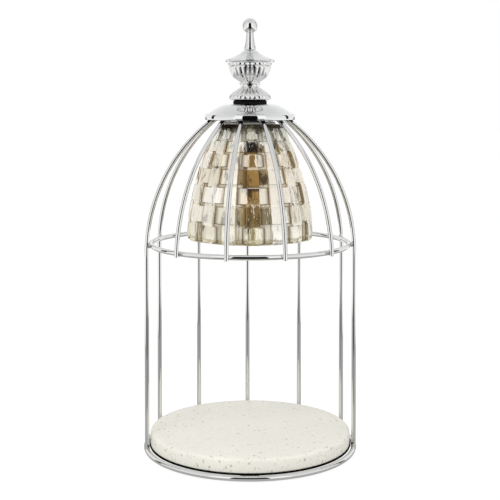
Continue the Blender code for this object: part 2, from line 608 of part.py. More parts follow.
def make_ceramic():
    radius = SLEEVE_BORE_RADIUS - GAP
    ceramic = rod("holder_ceramic", radius, CERAMIC_TOP, CERAMIC_BOTTOM, CERAMIC, PLAIN)
    pocket_top = CERAMIC_BOTTOM + PIN_POCKET_DEPTH
    recess = HOLDER_SCREW_HEAD_HEIGHT + 2 * GAP
    for side, word in ((-1, "left"), (1, "right")):
        pocket = plate(f"pocket_{word}", [pocket_outline(side)], pocket_top,
                       CERAMIC_BOTTOM - OVERRUN, CERAMIC, CUTTERS)
        cut(ceramic, as_mesh(pocket))
        lead_cutter = rod("ceramic_lead_hole", LEAD_RADIUS + GAP, CERAMIC_TOP + OVERRUN,
                          pocket_top - CONTACT_THICKNESS, CERAMIC, 8, CUTTERS)
        lead_cutter.location.x = side * PIN_CIRCLE_RADIUS
        cut(ceramic, lead_cutter, CUTTER_TWIST)
        wide, narrow = HOLDER_SCREW_HEAD_RADIUS + GAP, HOLDER_SCREW_RADIUS + GAP
        bore = turned("holder_screw_hole", [
            (0, CERAMIC_TOP + OVERRUN), (narrow, CERAMIC_TOP + OVERRUN), (narrow, CERAMIC_BOTTOM + recess),
            (wide, CERAMIC_BOTTOM + recess), (wide, CERAMIC_BOTTOM - OVERRUN),
            (0, CERAMIC_BOTTOM - OVERRUN)], CERAMIC, 12, collection=CUTTERS)
        bore.location.y = side * HOLDER_SCREW_OFFSET
        cut(ceramic, bore, CUTTER_TWIST)

    head_bottom = CERAMIC_BOTTOM + GAP
    head_top = head_bottom + HOLDER_SCREW_HEAD_HEIGHT
    for side, word in ((-1, "front"), (1, "rear")):
        screw = turned(f"holder_screw_{word}", [
            (0, SLEEVE_TOP), (HOLDER_SCREW_RADIUS, SLEEVE_TOP), (HOLDER_SCREW_RADIUS, head_top),
            (HOLDER_SCREW_HEAD_RADIUS, head_top), (HOLDER_SCREW_HEAD_RADIUS, head_bottom),
            (0, head_bottom)], STEEL, 12)
        screw.location.y = side * HOLDER_SCREW_OFFSET

    contact_top = pocket_top - GAP
    for side, word in ((-1, "left"), (1, "right")):
        bm = bmesh.new()
        bmesh.ops.create_cube(bm, size=1)
        bmesh.ops.scale(bm, vec=(CONTACT_SIDE, CONTACT_SIDE, CONTACT_THICKNESS), verts=bm.verts)
        contact = add_object(f"contact_{word}", mesh_from(bm, f"contact_{word}"), BRASS)
        contact.location = (side * PIN_CIRCLE_RADIUS, 0, contact_top - CONTACT_THICKNESS / 2)


def rounded_route(corners, radius, steps=3):
    """A route through corners, each one rounded off by a short curve."""
    places = [Vector(c) for c in corners]
    route = [places[0]]
    for before, corner, after in zip(places, places[1:], places[2:]):
        start = corner + (before - corner).normalized() * radius
        end = corner + (after - corner).normalized() * radius
        for i in range(steps + 1):
            t = i / steps
            route.append(start * (1 - t) ** 2 + corner * 2 * t * (1 - t) + end * t ** 2)
    route.append(places[-1])
    return route


def make_leads():
    lie = CROWN_PLATE_TOP + GAP + CRIMP_RADIUS
    turn_in = (CERAMIC_TOP + SLEEVE_NUT_BOTTOM) / 2
    contact_top = CERAMIC_BOTTOM + PIN_POCKET_DEPTH - GAP
    crimp_front = LEAD_HOLE_SETBACK - LEAD_BEND_RADIUS - 2 * GAP
    for side, word in ((-1, "left"), (1, "right")):
        x = side * LEAD_OFFSET
        crimp = rod(f"crimp_{word}", CRIMP_RADIUS, CRIMP_LENGTH, 0, BRASS, 10)
        crimp.location = (x, -side * crimp_front, lie)
        crimp.rotation_euler.x = -side * pi / 2
        route = rounded_route([
            (x, -side * (crimp_front + GAP), lie), (x, -side * LEAD_HOLE_SETBACK, lie),
            (x, -side * LEAD_HOLE_SETBACK, turn_in), (side * PIN_CIRCLE_RADIUS, 0, turn_in),
            (side * PIN_CIRCLE_RADIUS, 0, contact_top + GAP)], LEAD_BEND_RADIUS)
        add_object(f"lead_{word}", wire(f"lead_{word}", route, LEAD_RADIUS, LEAD_JACKET), LEAD_JACKET)


def make_bulb():
    shoulder = BULB_TOP - BULB_BASE_HEIGHT
    turned("bulb_base", [(0, BULB_TOP), (BULB_BASE_RADIUS, BULB_TOP), (BULB_BASE_RADIUS, shoulder),
                         (BULB_PLUG_RADIUS, shoulder), (BULB_PLUG_RADIUS, PLUG_BOTTOM),
                         (0, PLUG_BOTTOM)], CERAMIC, PLAIN)
    neck_top = BULB_TOP + GAP + PIN_NECK_LENGTH
    pin_top = neck_top + PIN_HEAD_LENGTH
    for side, word in ((-1, "left"), (1, "right")):
        pin = turned(f"bulb_pin_{word}", [
            (0, pin_top), (PIN_HEAD_RADIUS, pin_top), (PIN_HEAD_RADIUS, neck_top),
            (PIN_NECK_RADIUS, neck_top), (PIN_NECK_RADIUS, BULB_TOP + GAP),
            (0, BULB_TOP + GAP)], STEEL, 12)
        pin.location.x = side * PIN_CIRCLE_RADIUS

    neck_radius = BULB_PLUG_RADIUS + GAP + REFLECTOR_WALL
    outside = [(neck_radius + (BULB_RADIUS - neck_radius) * out, REFLECTOR_TOP - REFLECTOR_HEIGHT * down)
               for down, out in REFLECTOR_SHARES]
    inside = [(r - REFLECTOR_WALL, z) for r, z in outside[::-1]]
    turned("bulb_reflector", outside + inside, MIRROR_COAT, PLAIN, closed=True)

    lens_top = REFLECTOR_BOTTOM - GAP
    lens_bottom = lens_top - LENS_THICKNESS
    turned("bulb_lens", [(0, lens_top), (BULB_RADIUS, lens_top),
                         (BULB_RADIUS, lens_bottom + LENS_THICKNESS / 2),
                         (BULB_RADIUS - LENS_THICKNESS / 2, lens_bottom), (0, lens_bottom)],
           CLEAR_GLASS, PLAIN)
    capsule_top = PLUG_BOTTOM - GAP
    tip = arc((0, capsule_top - CAPSULE_LENGTH + CAPSULE_RADIUS), CAPSULE_RADIUS, 0, -90, 4)[:-1]
    turned("bulb_capsule", [(0, capsule_top), (CAPSULE_RADIUS, capsule_top)] + tip
           + [(0, capsule_top - CAPSULE_LENGTH)], CLEAR_GLASS, 12)


def shade_radius_at(height):
    """Radius over the blocks of the shade at a height."""
    rise = abs(height - SHADE_WIDEST_HEIGHT) / SHADE_CURVE_HEIGHT
    return SHADE_RADIUS * (1 - rise ** SHADE_CURVE_POWER) ** (1 / SHADE_CURVE_POWER)


def inward(profile, wall):
    """A line of (radius, height) moved by the wall, square to itself, towards the axis."""
    moved = []
    for i, (r, z) in enumerate(profile):
        r1, z1 = profile[max(i - 1, 0)]
        r2, z2 = profile[min(i + 1, len(profile) - 1)]
        length = hypot(r2 - r1, z2 - z1)
        moved.append((r - wall * (z1 - z2) / length, z - wall * (r2 - r1) / length))
    return moved


def weave_height(across, rise, upright):
    """Share of the relief at a place of the weave, by how far it is from the middle of its cell.

    In an upright cell the upright strand lies on top, and the level strands of the columns
    beside it dive under; in the other cells it is the other way round."""
    from_level = 1 - across if upright else across
    from_upright = rise if upright else 1 - rise
    height = 0
    if rise < LEVEL_RISE_SHARE:
        height = LEVEL_HEIGHT_SHARE - LEVEL_DIVE_SHARE * max(from_level - LEVEL_FLAT_SHARE, 0)
    if across < UPRIGHT_HALF_SHARE and from_upright < UPRIGHT_REACH_SHARE:
        height = max(height, 1 - UPRIGHT_DIVE_SHARE * max(from_upright - UPRIGHT_FLAT_SHARE, 0))
    return height


def weave(shade, rings):
    """Moves the corners of the turned wall to the edges of its columns and raises the strands."""
    pitch = 2 * pi / SHADE_COLUMNS
    edges = len(STRAND_EDGE_SHARES)
    for vertex in shade.data.vertices:
        radius = hypot(vertex.co.x, vertex.co.y)
        number = round(atan2(vertex.co.y, vertex.co.x) / pitch * edges) % (SHADE_COLUMNS * edges)
        column, edge = divmod(number, edges)
        across = STRAND_EDGE_SHARES[edge]
        raised = 0
        for height, row, rise in rings:
            plain_radius = shade_radius_at(height) - SHADE_RELIEF
            if abs(vertex.co.z - height) < GAP and abs(radius - plain_radius) < GAP:
                raised = SHADE_RELIEF * weave_height(abs(across), rise, (column + row) % 2)
        turn = (column + across) * pitch
        vertex.co.x = (radius + raised) * cos(turn)
        vertex.co.y = (radius + raised) * sin(turn)


def make_shade():
    """The bell: a plain turned wall whose outer side is then raised in woven strands."""
    span = SHADE_SHOULDER_HEIGHT - SHADE_MOUTH_HEIGHT
    rings = []
    for row, (low, high) in enumerate(zip(SHADE_ROW_SHARES, SHADE_ROW_SHARES[1:])):
        for edge in ROW_EDGE_SHARES:
            share = (low + high) / 2 + edge * (high - low)
            rings.append((SHADE_MOUTH_HEIGHT + span * share, row, abs(edge)))
    plain = [(shade_radius_at(height) - SHADE_RELIEF, height) for height, row, rise in rings[::-1]]
    shoulder_radius = shade_radius_at(SHADE_SHOULDER_HEIGHT) - SHADE_RELIEF
    hole = SLEEVE_RADIUS + 2 * GAP
    top_flat = (shoulder_radius - SHADE_SHOULDER_SETBACK, SHADE_TOP)
    outside = [(shoulder_radius, SHADE_SHOULDER_HEIGHT)] + plain
    lip_outside = (shade_radius_at(SHADE_MOUTH_HEIGHT) - SHADE_RELIEF, SHADE_MOUTH_HEIGHT + SHADE_LIP)
    lip = [lip_outside, (lip_outside[0] - SHADE_LIP, SHADE_MOUTH_HEIGHT)]
    inner_line = inward([outside[0]] + plain[2::4] + [lip_outside], SHADE_WALL)
    inner_mouth = (lip_outside[0] - SHADE_WALL, SHADE_MOUTH_HEIGHT)
    ceiling = SHADE_TOP - SHADE_WALL
    inner_line = [place for place in inner_line if SHADE_MOUTH_HEIGHT < place[1] < ceiling - SHADE_LIP]
    ceiling_corner = (inner_line[0][0] - SHADE_WALL / 2, ceiling)
    profile = ([(hole, SHADE_TOP), top_flat] + outside + lip + [inner_mouth]
               + inner_line[::-1] + [ceiling_corner, (hole, ceiling)])
    segments = SHADE_COLUMNS * len(STRAND_EDGE_SHARES)
    shade = baked(turned("glass_shade", profile, PLATED_GLASS, segments, closed=True))
    weave(shade, rings)
    shade.rotation_euler.z = radians(SHADE_WEAVE_TURN) - pi / 2

    tube_between("shade_washer", SHADE_RING_RADIUS, hole, WASHER_TOP,
                 WASHER_TOP - SHADE_WASHER_THICKNESS, FOAM, MEDIUM)
    bore = SLEEVE_RADIUS + GAP
    ring_bottom = SHADE_RING_TOP - SHADE_RING_HEIGHT
    turned("shade_ring", [
        (SHADE_RING_RADIUS, SHADE_RING_TOP), (SHADE_RING_RADIUS, ring_bottom + SHADE_RING_BEVEL),
        (SHADE_RING_RADIUS - SHADE_RING_BEVEL, ring_bottom), (bore, ring_bottom),
        (bore, SHADE_RING_TOP)], SLEEVE_PLASTIC, MEDIUM, closed=True)


def fluted(made, bottom, height, depth):
    """Presses flutes into a turned piece, deepest at the middle of its height."""
    made = baked(made)
    step = pi / FLUTES
    for vertex in made.data.vertices:
        radius = hypot(vertex.co.x, vertex.co.y)
        share = (vertex.co.z - bottom) / height
        if radius < WAIST_RADIUS or not 0 < share < 1:
            continue
        if round(atan2(vertex.co.y, vertex.co.x) / step) % 2:
            scale = 1 - depth * sin(pi * share) / radius
            vertex.co.x *= scale
            vertex.co.y *= scale
    return made


def make_finial():
    tube_between("finial_gasket", GASKET_RADIUS, NIPPLE_RADIUS + GAP,
                 GASKET_BOTTOM + GASKET_THICKNESS, GASKET_BOTTOM, RUBBER, MEDIUM)
    bore, small = NIPPLE_RADIUS + GAP, STUD_RADIUS + GAP
    foot_top = FINIAL_BOTTOM + FOOT_HEIGHT
    bore_top = FINIAL_BOTTOM + FOOT_BORE_DEPTH
    foot = [(WAIST_RADIUS, foot_top)]
    foot += [(FOOT_RADIUS * out, FINIAL_BOTTOM + FOOT_HEIGHT * up) for up, out in FOOT_SHARES]
    foot += [(bore, FINIAL_BOTTOM), (bore, bore_top), (small, bore_top), (small, foot_top)]
    fluted(turned("finial_foot", foot, CHROME, 2 * FLUTES, closed=True),
           FINIAL_BOTTOM, FOOT_HEIGHT * FOOT_FLUTED_SHARE, FLUTE_DEPTH)

    bowl_top = BOWL_BOTTOM + BOWL_HEIGHT
    bowl = [(BOWL_RADIUS * out, BOWL_BOTTOM + BOWL_HEIGHT * up) for up, out in BOWL_SHARES]
    bowl += [(BOWL_BOTTOM_RADIUS, BOWL_BOTTOM), (small, BOWL_BOTTOM), (small, bowl_top)]
    fluted(turned("finial_bowl", bowl, CHROME, 2 * FLUTES, closed=True),
           BOWL_BOTTOM, BOWL_HEIGHT * BOWL_FLUTED_SHARE, FLUTE_DEPTH)

    lid_top = LID_BOTTOM + LID_HEIGHT
    edge_top = LID_BOTTOM + LID_EDGE
    flare = LID_RADIUS - LID_NECK_RADIUS
    lid = [(LID_NECK_RADIUS + flare * out, edge_top + (lid_top - edge_top) * up)
           for out, up in LID_SHARES]
    lid += [(LID_RADIUS, LID_BOTTOM + LID_EDGE / 3),
            (LID_RADIUS - LID_EDGE, LID_BOTTOM), (small, LID_BOTTOM), (small, lid_top)]
    turned("finial_lid", lid, CHROME, MEDIUM, closed=True)

    neck_top = SPINDLE_BOTTOM + SPINDLE_HEIGHT
    ball_centre = neck_top + (BALL_RADIUS ** 2 - SPINDLE_NECK_RADIUS ** 2) ** 0.5
    reach = 90 - atan2(SPINDLE_NECK_RADIUS, ball_centre - neck_top) * 180 / pi
    ball = arc((0, ball_centre), BALL_RADIUS, 90, -reach, 7)
    bore_end = SPINDLE_BOTTOM + STUD_REACH_IN_SPINDLE + GAP
    spindle = [(0, ball[0][1])] + ball[1:]
    spindle += [(SPINDLE_BASE_RADIUS * out, SPINDLE_BOTTOM + SPINDLE_HEIGHT * up)
                for up, out in SPINDLE_SHARES]
    spindle += [(small, SPINDLE_BOTTOM), (small, bore_end), (0, bore_end)]
    turned("finial_spindle", spindle, CHROME, COARSE)
    rod("finial_stud", STUD_RADIUS, SPINDLE_BOTTOM + STUD_REACH_IN_SPINDLE, bore_top + GAP, STEEL, 12)


def shade_smooth():
    for made in PARTS.objects:
        if made.type == "MESH":
            made.data.shade_smooth()
            made.data.set_sharp_from_angle(angle=radians(SHARP_ANGLE))


make_cage()
make_base()
make_crown()
make_sleeve()
make_ceramic()
make_leads()
make_bulb()
make_shade()
make_finial()
shade_smooth()
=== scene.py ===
# %% [markdown]
# # Candle warmer lamp
# The lamp is a chromed wire birdcage on a disc of speckled stone. A bell of plated pressed glass
# hangs in the dome of the cage, over the place where a jar candle stands, and an urn finial
# screws the top together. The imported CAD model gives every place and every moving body; this
# script dresses it. Lengths are in metres, the front is towards -Y and up is +Z.

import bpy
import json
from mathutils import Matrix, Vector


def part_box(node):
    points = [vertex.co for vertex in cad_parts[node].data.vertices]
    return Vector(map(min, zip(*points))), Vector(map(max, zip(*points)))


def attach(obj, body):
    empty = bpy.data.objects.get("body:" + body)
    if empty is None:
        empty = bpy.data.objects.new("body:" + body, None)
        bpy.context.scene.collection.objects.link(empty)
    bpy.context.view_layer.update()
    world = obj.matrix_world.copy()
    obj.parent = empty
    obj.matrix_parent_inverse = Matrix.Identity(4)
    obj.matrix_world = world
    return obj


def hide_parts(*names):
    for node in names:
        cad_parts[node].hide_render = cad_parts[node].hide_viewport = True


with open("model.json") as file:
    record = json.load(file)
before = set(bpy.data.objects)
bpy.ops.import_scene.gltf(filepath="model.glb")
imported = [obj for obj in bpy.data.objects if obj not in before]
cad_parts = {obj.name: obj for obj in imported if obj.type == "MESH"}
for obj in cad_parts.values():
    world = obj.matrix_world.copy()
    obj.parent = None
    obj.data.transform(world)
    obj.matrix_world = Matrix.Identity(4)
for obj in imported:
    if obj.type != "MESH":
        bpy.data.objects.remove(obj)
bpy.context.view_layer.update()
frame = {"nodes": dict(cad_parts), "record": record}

# %% Names used all through
import bmesh
import bpy
import json
import numpy as np
from functools import partial
from math import atan2, cos, hypot, pi, radians, sin, tan
from mathutils import Matrix, Vector

MM = 0.001

# %% [markdown]
# ## Studio
# A mirror shows what stands round it, so a chrome lamp is lit by cards more than by lamps. The
# room is white, and a tall dark slot behind the camera draws the black line down every wire.
# Bright panels beside it, thin dark strips at the sides and low grey wings at the back give the
# wires their other tones. The cards are hidden from the camera and from soft light, so only
# polished surfaces see them.

# %% Helper: an object in the scene that shows some data
def linked(name, data):
    made = bpy.data.objects.new(name, data)
    bpy.context.scene.collection.objects.link(made)
    return made


# %% Camera at the photograph's angle
CAMERA_PLACE = (0.0, -0.9040, 0.2878)
CAMERA_PITCH = 1.734
camera_data = bpy.data.cameras.new("camera")
camera_data.lens = 82.32
camera_data.sensor_width = 36.0
camera_data.shift_y = -0.2589
camera = linked("camera", camera_data)
camera.location = CAMERA_PLACE
camera.rotation_euler = (radians(90 - CAMERA_PITCH), 0, 0)
bpy.context.scene.camera = camera
bpy.context.scene.view_settings.view_transform = "Standard"
print("camera looks down by", CAMERA_PITCH, "degrees")


# %% Helper: a node by kind, with its inputs wired or set
def add_node(tree, kind, inputs=None, **settings):
    """Adds a node; an input is given a value, another node's output, or a node for its first output."""
    node = tree.nodes.new(kind)
    for key, value in settings.items():
        setattr(node, key, value)
    for key, value in (inputs or {}).items():
        if isinstance(value, bpy.types.Node):
            value = value.outputs[0]
        if isinstance(value, bpy.types.NodeSocket):
            tree.links.new(value, node.inputs[key])
        else:
            node.inputs[key].default_value = value
    return node


# %% Helper: the node tree of a world or a material, emptied
def bare_tree(owner):
    owner.use_nodes = True
    owner.node_tree.nodes.clear()
    return owner.node_tree


# %% World: white to the eye and to mirrors, softer as a lamp
SOFT_LIGHT = 0.84
world = bpy.data.worlds.new("white_room")
bpy.context.scene.world = world
room = bare_tree(world)
ray = add_node(room, "ShaderNodeLightPath").outputs
seen = add_node(room, "ShaderNodeMath", {0: ray["Is Camera Ray"], 1: ray["Is Transmission Ray"]},
                operation="MAXIMUM")
place = add_node(room, "ShaderNodeTexCoord")
height = add_node(room, "ShaderNodeSeparateXYZ", {0: place.outputs["Generated"]})
walls = add_node(room, "ShaderNodeValToRGB", {"Fac": height.outputs["Z"]})
for mark, position, colour in zip(walls.color_ramp.elements, (0.30, 0.95),
                                  ((0.95, 0.95, 0.95, 1), (0.76, 0.77, 0.79, 1))):
    mark.position, mark.color = position, colour
lamp_part = add_node(room, "ShaderNodeBackground", {"Color": (1, 1, 1, 1), "Strength": SOFT_LIGHT})
mirror_part = add_node(room, "ShaderNodeBackground", {"Color": walls, "Strength": 1.0})
eye_part = add_node(room, "ShaderNodeBackground", {"Color": (1, 1, 1, 1), "Strength": 1.0})
first = add_node(room, "ShaderNodeMixShader", {0: ray["Is Glossy Ray"], 1: lamp_part, 2: mirror_part})
second = add_node(room, "ShaderNodeMixShader", {0: seen, 1: first, 2: eye_part})
add_node(room, "ShaderNodeOutputWorld", {"Surface": second})


# %% Helper: a mesh object from corners and faces
def mesh_object(name, corners, faces, smooth=True):
    mesh = bpy.data.meshes.new(name)
    mesh.from_pydata([tuple(c) for c in corners], [], [tuple(f) for f in faces])
    mesh.update()
    if smooth:
        mesh.shade_smooth()
    return linked(name, mesh)


# %% Floor, white to the eye with a faint shadow
FLOOR_HALF = 6.0
FLOOR_GLOW = 1.10
GLOW_SHARE = 0.80


def floor_paint():
    """Lit white for soft light; the camera and mirrors see mostly the glow."""
    paint = bpy.data.materials.new("white_floor")
    tree = bare_tree(paint)
    lit = add_node(tree, "ShaderNodeBsdfDiffuse", {"Color": (0.9, 0.9, 0.9, 1)})
    glow = add_node(tree, "ShaderNodeEmission", {"Color": (1, 1, 1, 1), "Strength": FLOOR_GLOW})
    ray = add_node(tree, "ShaderNodeLightPath").outputs
    shown = ray["Is Camera Ray"]
    for kind in ("Is Transmission Ray", "Is Glossy Ray"):
        shown = add_node(tree, "ShaderNodeMath", {0: shown, 1: ray[kind]}, operation="MAXIMUM")
    share = add_node(tree, "ShaderNodeMath", {0: shown, 1: GLOW_SHARE}, operation="MULTIPLY")
    both = add_node(tree, "ShaderNodeMixShader", {0: share, 1: lit, 2: glow})
    add_node(tree, "ShaderNodeOutputMaterial", {"Surface": both})
    return paint


floor = mesh_object("floor", [(-FLOOR_HALF, -FLOOR_HALF, 0), (FLOOR_HALF, -FLOOR_HALF, 0),
                              (FLOOR_HALF, FLOOR_HALF, 0), (-FLOOR_HALF, FLOOR_HALF, 0)], [(0, 1, 2, 3)])
floor.data.materials.append(floor_paint())


# %% Cards that only polished surfaces see
CARD_DISTANCE = 1.15
CARD_FOOT = 0.001


def card(name, corners, brightness):
    """A flat card. Brightness is what a mirror sees in it, from 0 for black."""
    made = mesh_object(name, corners, [(0, 1, 2, 3)], smooth=False)
    paint = bpy.data.materials.new(name)
    tree = bare_tree(paint)
    glow = add_node(tree, "ShaderNodeEmission", {"Color": (brightness,) * 3 + (1,), "Strength": 1.0})
    add_node(tree, "ShaderNodeOutputMaterial", {"Surface": glow})
    made.data.materials.append(paint)
    made.visible_camera = made.visible_diffuse = made.visible_shadow = made.visible_transmission = False
    made.visible_volume_scatter = False


def standing_card(name, azimuths, top, brightness):
    """A card that stands round the lamp between two azimuths, degrees from the front."""
    (a, b), (c, d) = ((CARD_DISTANCE * sin(radians(v)), -CARD_DISTANCE * cos(radians(v))) for v in azimuths)
    card(name, [(a, b, CARD_FOOT), (c, d, CARD_FOOT), (c, d, top), (a, b, top)], brightness)


def lying_card(name, near, near_half, far, far_half, height, brightness):
    """A card on the floor; near and far are its edges' distances to the front of the lamp."""
    card(name, [(-near_half, -near, height), (near_half, -near, height), (far_half, -far, height),
                (-far_half, -far, height)], brightness)


SLOT_HALF, SLOT_NEAR, SLOT_GREY = 19.5, 0.32, 0.004
standing_card("dark_slot_front", (-SLOT_HALF, SLOT_HALF), 1.32, SLOT_GREY)
lying_card("dark_slot_floor", SLOT_NEAR, SLOT_NEAR * tan(radians(SLOT_HALF)), CARD_DISTANCE * cos(radians(SLOT_HALF)),
           CARD_DISTANCE * sin(radians(SLOT_HALF)), 0.0015, SLOT_GREY)
lying_card("grey_table", 0.45, 0.45, -0.45, 0.45, 0.0005, 0.50)
lying_card("grey_wedge_floor", 0.13, 0.15, 1.0, 0.72, 0.001, 0.32)
for side, word in ((-1, "left"), (1, "right")):
    for name, near, far, top, brightness in (("bright_panel", 20.5, 42.0, 1.3, 1.18),
                                             ("thin_strip", 104.0, 115.0, 1.3, 0.01),
                                             ("grey_wing", 146.0, 180.0, 0.24, 0.36)):
        standing_card(f"{name}_{word}", (side * near, side * far), top, brightness)

# %% Lamps
LAMP_TARGET = Vector((0, 0, 0.15))
for name, place, size, power in (("key_lamp", (-0.9, -1.0, 1.5), 0.8, 9.0),
                                 ("fill_lamp", (1.1, -0.4, 1.1), 0.9, 3.0)):
    data = bpy.data.lights.new(name, "AREA")
    data.shape = "SQUARE"
    data.size = size
    data.energy = power
    lamp = linked(name, data)
    lamp.location = place
    lamp.rotation_euler = (LAMP_TARGET - Vector(place)).to_track_quat("-Z", "Y").to_euler()
    lamp.visible_glossy = lamp.visible_camera = False

# %% [markdown]
# ## Finishes
# Each finish is one Principled shader. What changes over a surface, such as specks, rolling
# marks or the uneven plating, comes from noise on Object coordinates and goes to colour,
# roughness and bump. What is the same all over is set on the shader's own socket.

# %% Helper: a finish with its shader
class Nodes:
    """Short calls that add nodes to self.graph."""

    def add(self, kind, inputs=None, **settings):
        return add_node(self.graph, kind, inputs, **settings)

    def math(self, operation, *values):
        return self.add("ShaderNodeMath", dict(enumerate(values)), operation=operation).outputs[0]


class Finish(Nodes):
    """A material, its Principled shader, and short calls for the textures that feed it."""

    def __init__(self, name, colour, roughness, metallic=0.0, **constants):
        self.paint = bpy.data.materials.new(name)
        self.paint.use_nodes = True
        self.graph = self.paint.node_tree
        self.shader = self.graph.nodes["Principled BSDF"]
        self.shader.inputs["Base Color"].default_value = (*colour, 1)
        self.shader.inputs["Roughness"].default_value = roughness
        self.shader.inputs["Metallic"].default_value = metallic
        for key, value in constants.items():
            self.shader.inputs[key.replace("_", " ")].default_value = value
        self.where = self.add("ShaderNodeTexCoord").outputs["Object"]

    def stored(self, name):
        """A number that the mesh carries on its corners."""
        return self.add("ShaderNodeAttribute", attribute_name=name).outputs["Fac"]

    def stretched(self, scale):
        return self.add("ShaderNodeMapping", {"Vector": self.where, "Scale": scale}).outputs[0]

    def noise(self, scale, detail=3.0, vector=None, roughness=0.5):
        return self.add("ShaderNodeTexNoise", {"Vector": vector or self.where, "Scale": scale,
                                               "Detail": detail, "Roughness": roughness}).outputs["Fac"]

    def ramp(self, value, *stops):
        node = self.add("ShaderNodeValToRGB", {"Fac": value})
        marks = node.color_ramp.elements
        while len(marks) < len(stops):
            marks.new(0.5)
        for mark, (position, colour) in zip(marks, stops):
            mark.position = position
            mark.color = (*colour, 1) if hasattr(colour, "__len__") else (colour, colour, colour, 1)
        return node.outputs["Color"]

    def mix(self, share, first, second, mode="MIX"):
        first, second = ((*v, 1) if hasattr(v, "__len__") else v for v in (first, second))
        return self.add("ShaderNodeMix", {0: share, 6: first, 7: second}, data_type="RGBA",
                        blend_type=mode).outputs[2]

    def feed(self, socket, value):
        self.graph.links.new(value, self.shader.inputs[socket])

    def bump(self, height_value, strength, distance):
        node = self.add("ShaderNodeBump", {"Strength": strength, "Distance": distance, "Height": height_value})
        self.feed("Normal", node.outputs[0])


# %% Chrome plate on wire and on sheet
def make_chrome(name, wave, tint):
    """Bright chrome. A slow wave in the surface bends reflections a little, as plating does."""
    chrome = Finish(name, tint, 0.03, 1.0)
    haze = chrome.noise(140.0, 4.0)
    chrome.feed("Roughness", chrome.ramp(haze, (0.35, 0.015), (0.75, 0.045)))
    cloud = chrome.noise(26.0, 2.0)
    darker = tuple(c * 0.94 for c in tint)
    chrome.feed("Base Color", chrome.mix(chrome.ramp(cloud, (0.35, 0.0), (0.7, 1.0)), tint, darker))
    chrome.bump(chrome.noise(wave, 2.0), 0.05, 0.0004)
    return chrome.paint


CHROME = make_chrome("chrome_wire", 60.0, (0.80, 0.80, 0.785))
SPUN_CHROME = make_chrome("chrome_spun", 35.0, (0.80, 0.805, 0.80))
CAST_CHROME = make_chrome("chrome_cast", 90.0, (0.80, 0.805, 0.795))


# %% Speckled stone
def make_stone():
    """Cream cast stone with few soft grey-green chips, and more of them near its cut edge."""
    stone = Finish("speckled_stone", (0.82, 0.80, 0.735), 0.40)
    cloud = stone.noise(16.0, 4.0)
    ground = stone.mix(stone.ramp(cloud, (0.3, 0.0), (0.7, 1.0)), (0.87, 0.848, 0.755), (0.815, 0.80, 0.72))
    place = stone.add("ShaderNodeSeparateXYZ", {0: stone.where}).outputs
    across = stone.add("ShaderNodeCombineXYZ", {0: place["X"], 1: place["Y"]})
    radius = stone.add("ShaderNodeVectorMath", {0: across}, operation="LENGTH").outputs["Value"]
    near_edge = stone.add("ShaderNodeMapRange", {"Value": radius, "From Min": 0.070, "From Max": 0.079,
                                                 "To Min": 0.0, "To Max": 0.10}).outputs[0]
    # Each kind of chip: cells per metre, half width, share of cells left plain, soft edge, colour
    for scale, size, plain, soft, colour in ((240.0, 0.13, 0.80, 0.20, (0.50, 0.50, 0.42)),
                                             (420.0, 0.16, 0.72, 0.16, (0.60, 0.59, 0.51)),
                                             (620.0, 0.20, 0.62, 0.12, (0.92, 0.91, 0.87)),
                                             (330.0, 0.08, 0.86, 0.10, (0.30, 0.30, 0.24))):
        bent = stone.add("ShaderNodeTexNoise", {"Vector": stone.where, "Scale": scale * 1.7, "Detail": 1.0})
        moved = stone.mix(0.0012, stone.where, bent.outputs["Color"])
        cells = stone.add("ShaderNodeTexVoronoi", {"Vector": moved, "Scale": scale}).outputs
        near = stone.ramp(cells["Distance"], (size, 1.0), (size + soft, 0.0))
        chosen = stone.add("ShaderNodeSeparateColor", {"Color": cells["Color"]}).outputs["Red"]
        some = stone.ramp(stone.math("ADD", chosen, near_edge), (plain, 0.0), (plain + 0.03, 1.0))
        ground = stone.mix(stone.math("MULTIPLY", near, some), ground, colour)
    stone.feed("Base Color", ground)
    stone.feed("Roughness", stone.ramp(stone.noise(300.0), (0.3, 0.34), (0.7, 0.48)))
    stone.bump(stone.noise(900.0, 2.0), 0.10, 0.0002)
    return stone.paint


STONE = make_stone()


# %% Plated glass of the bell
ROWS = 7.0


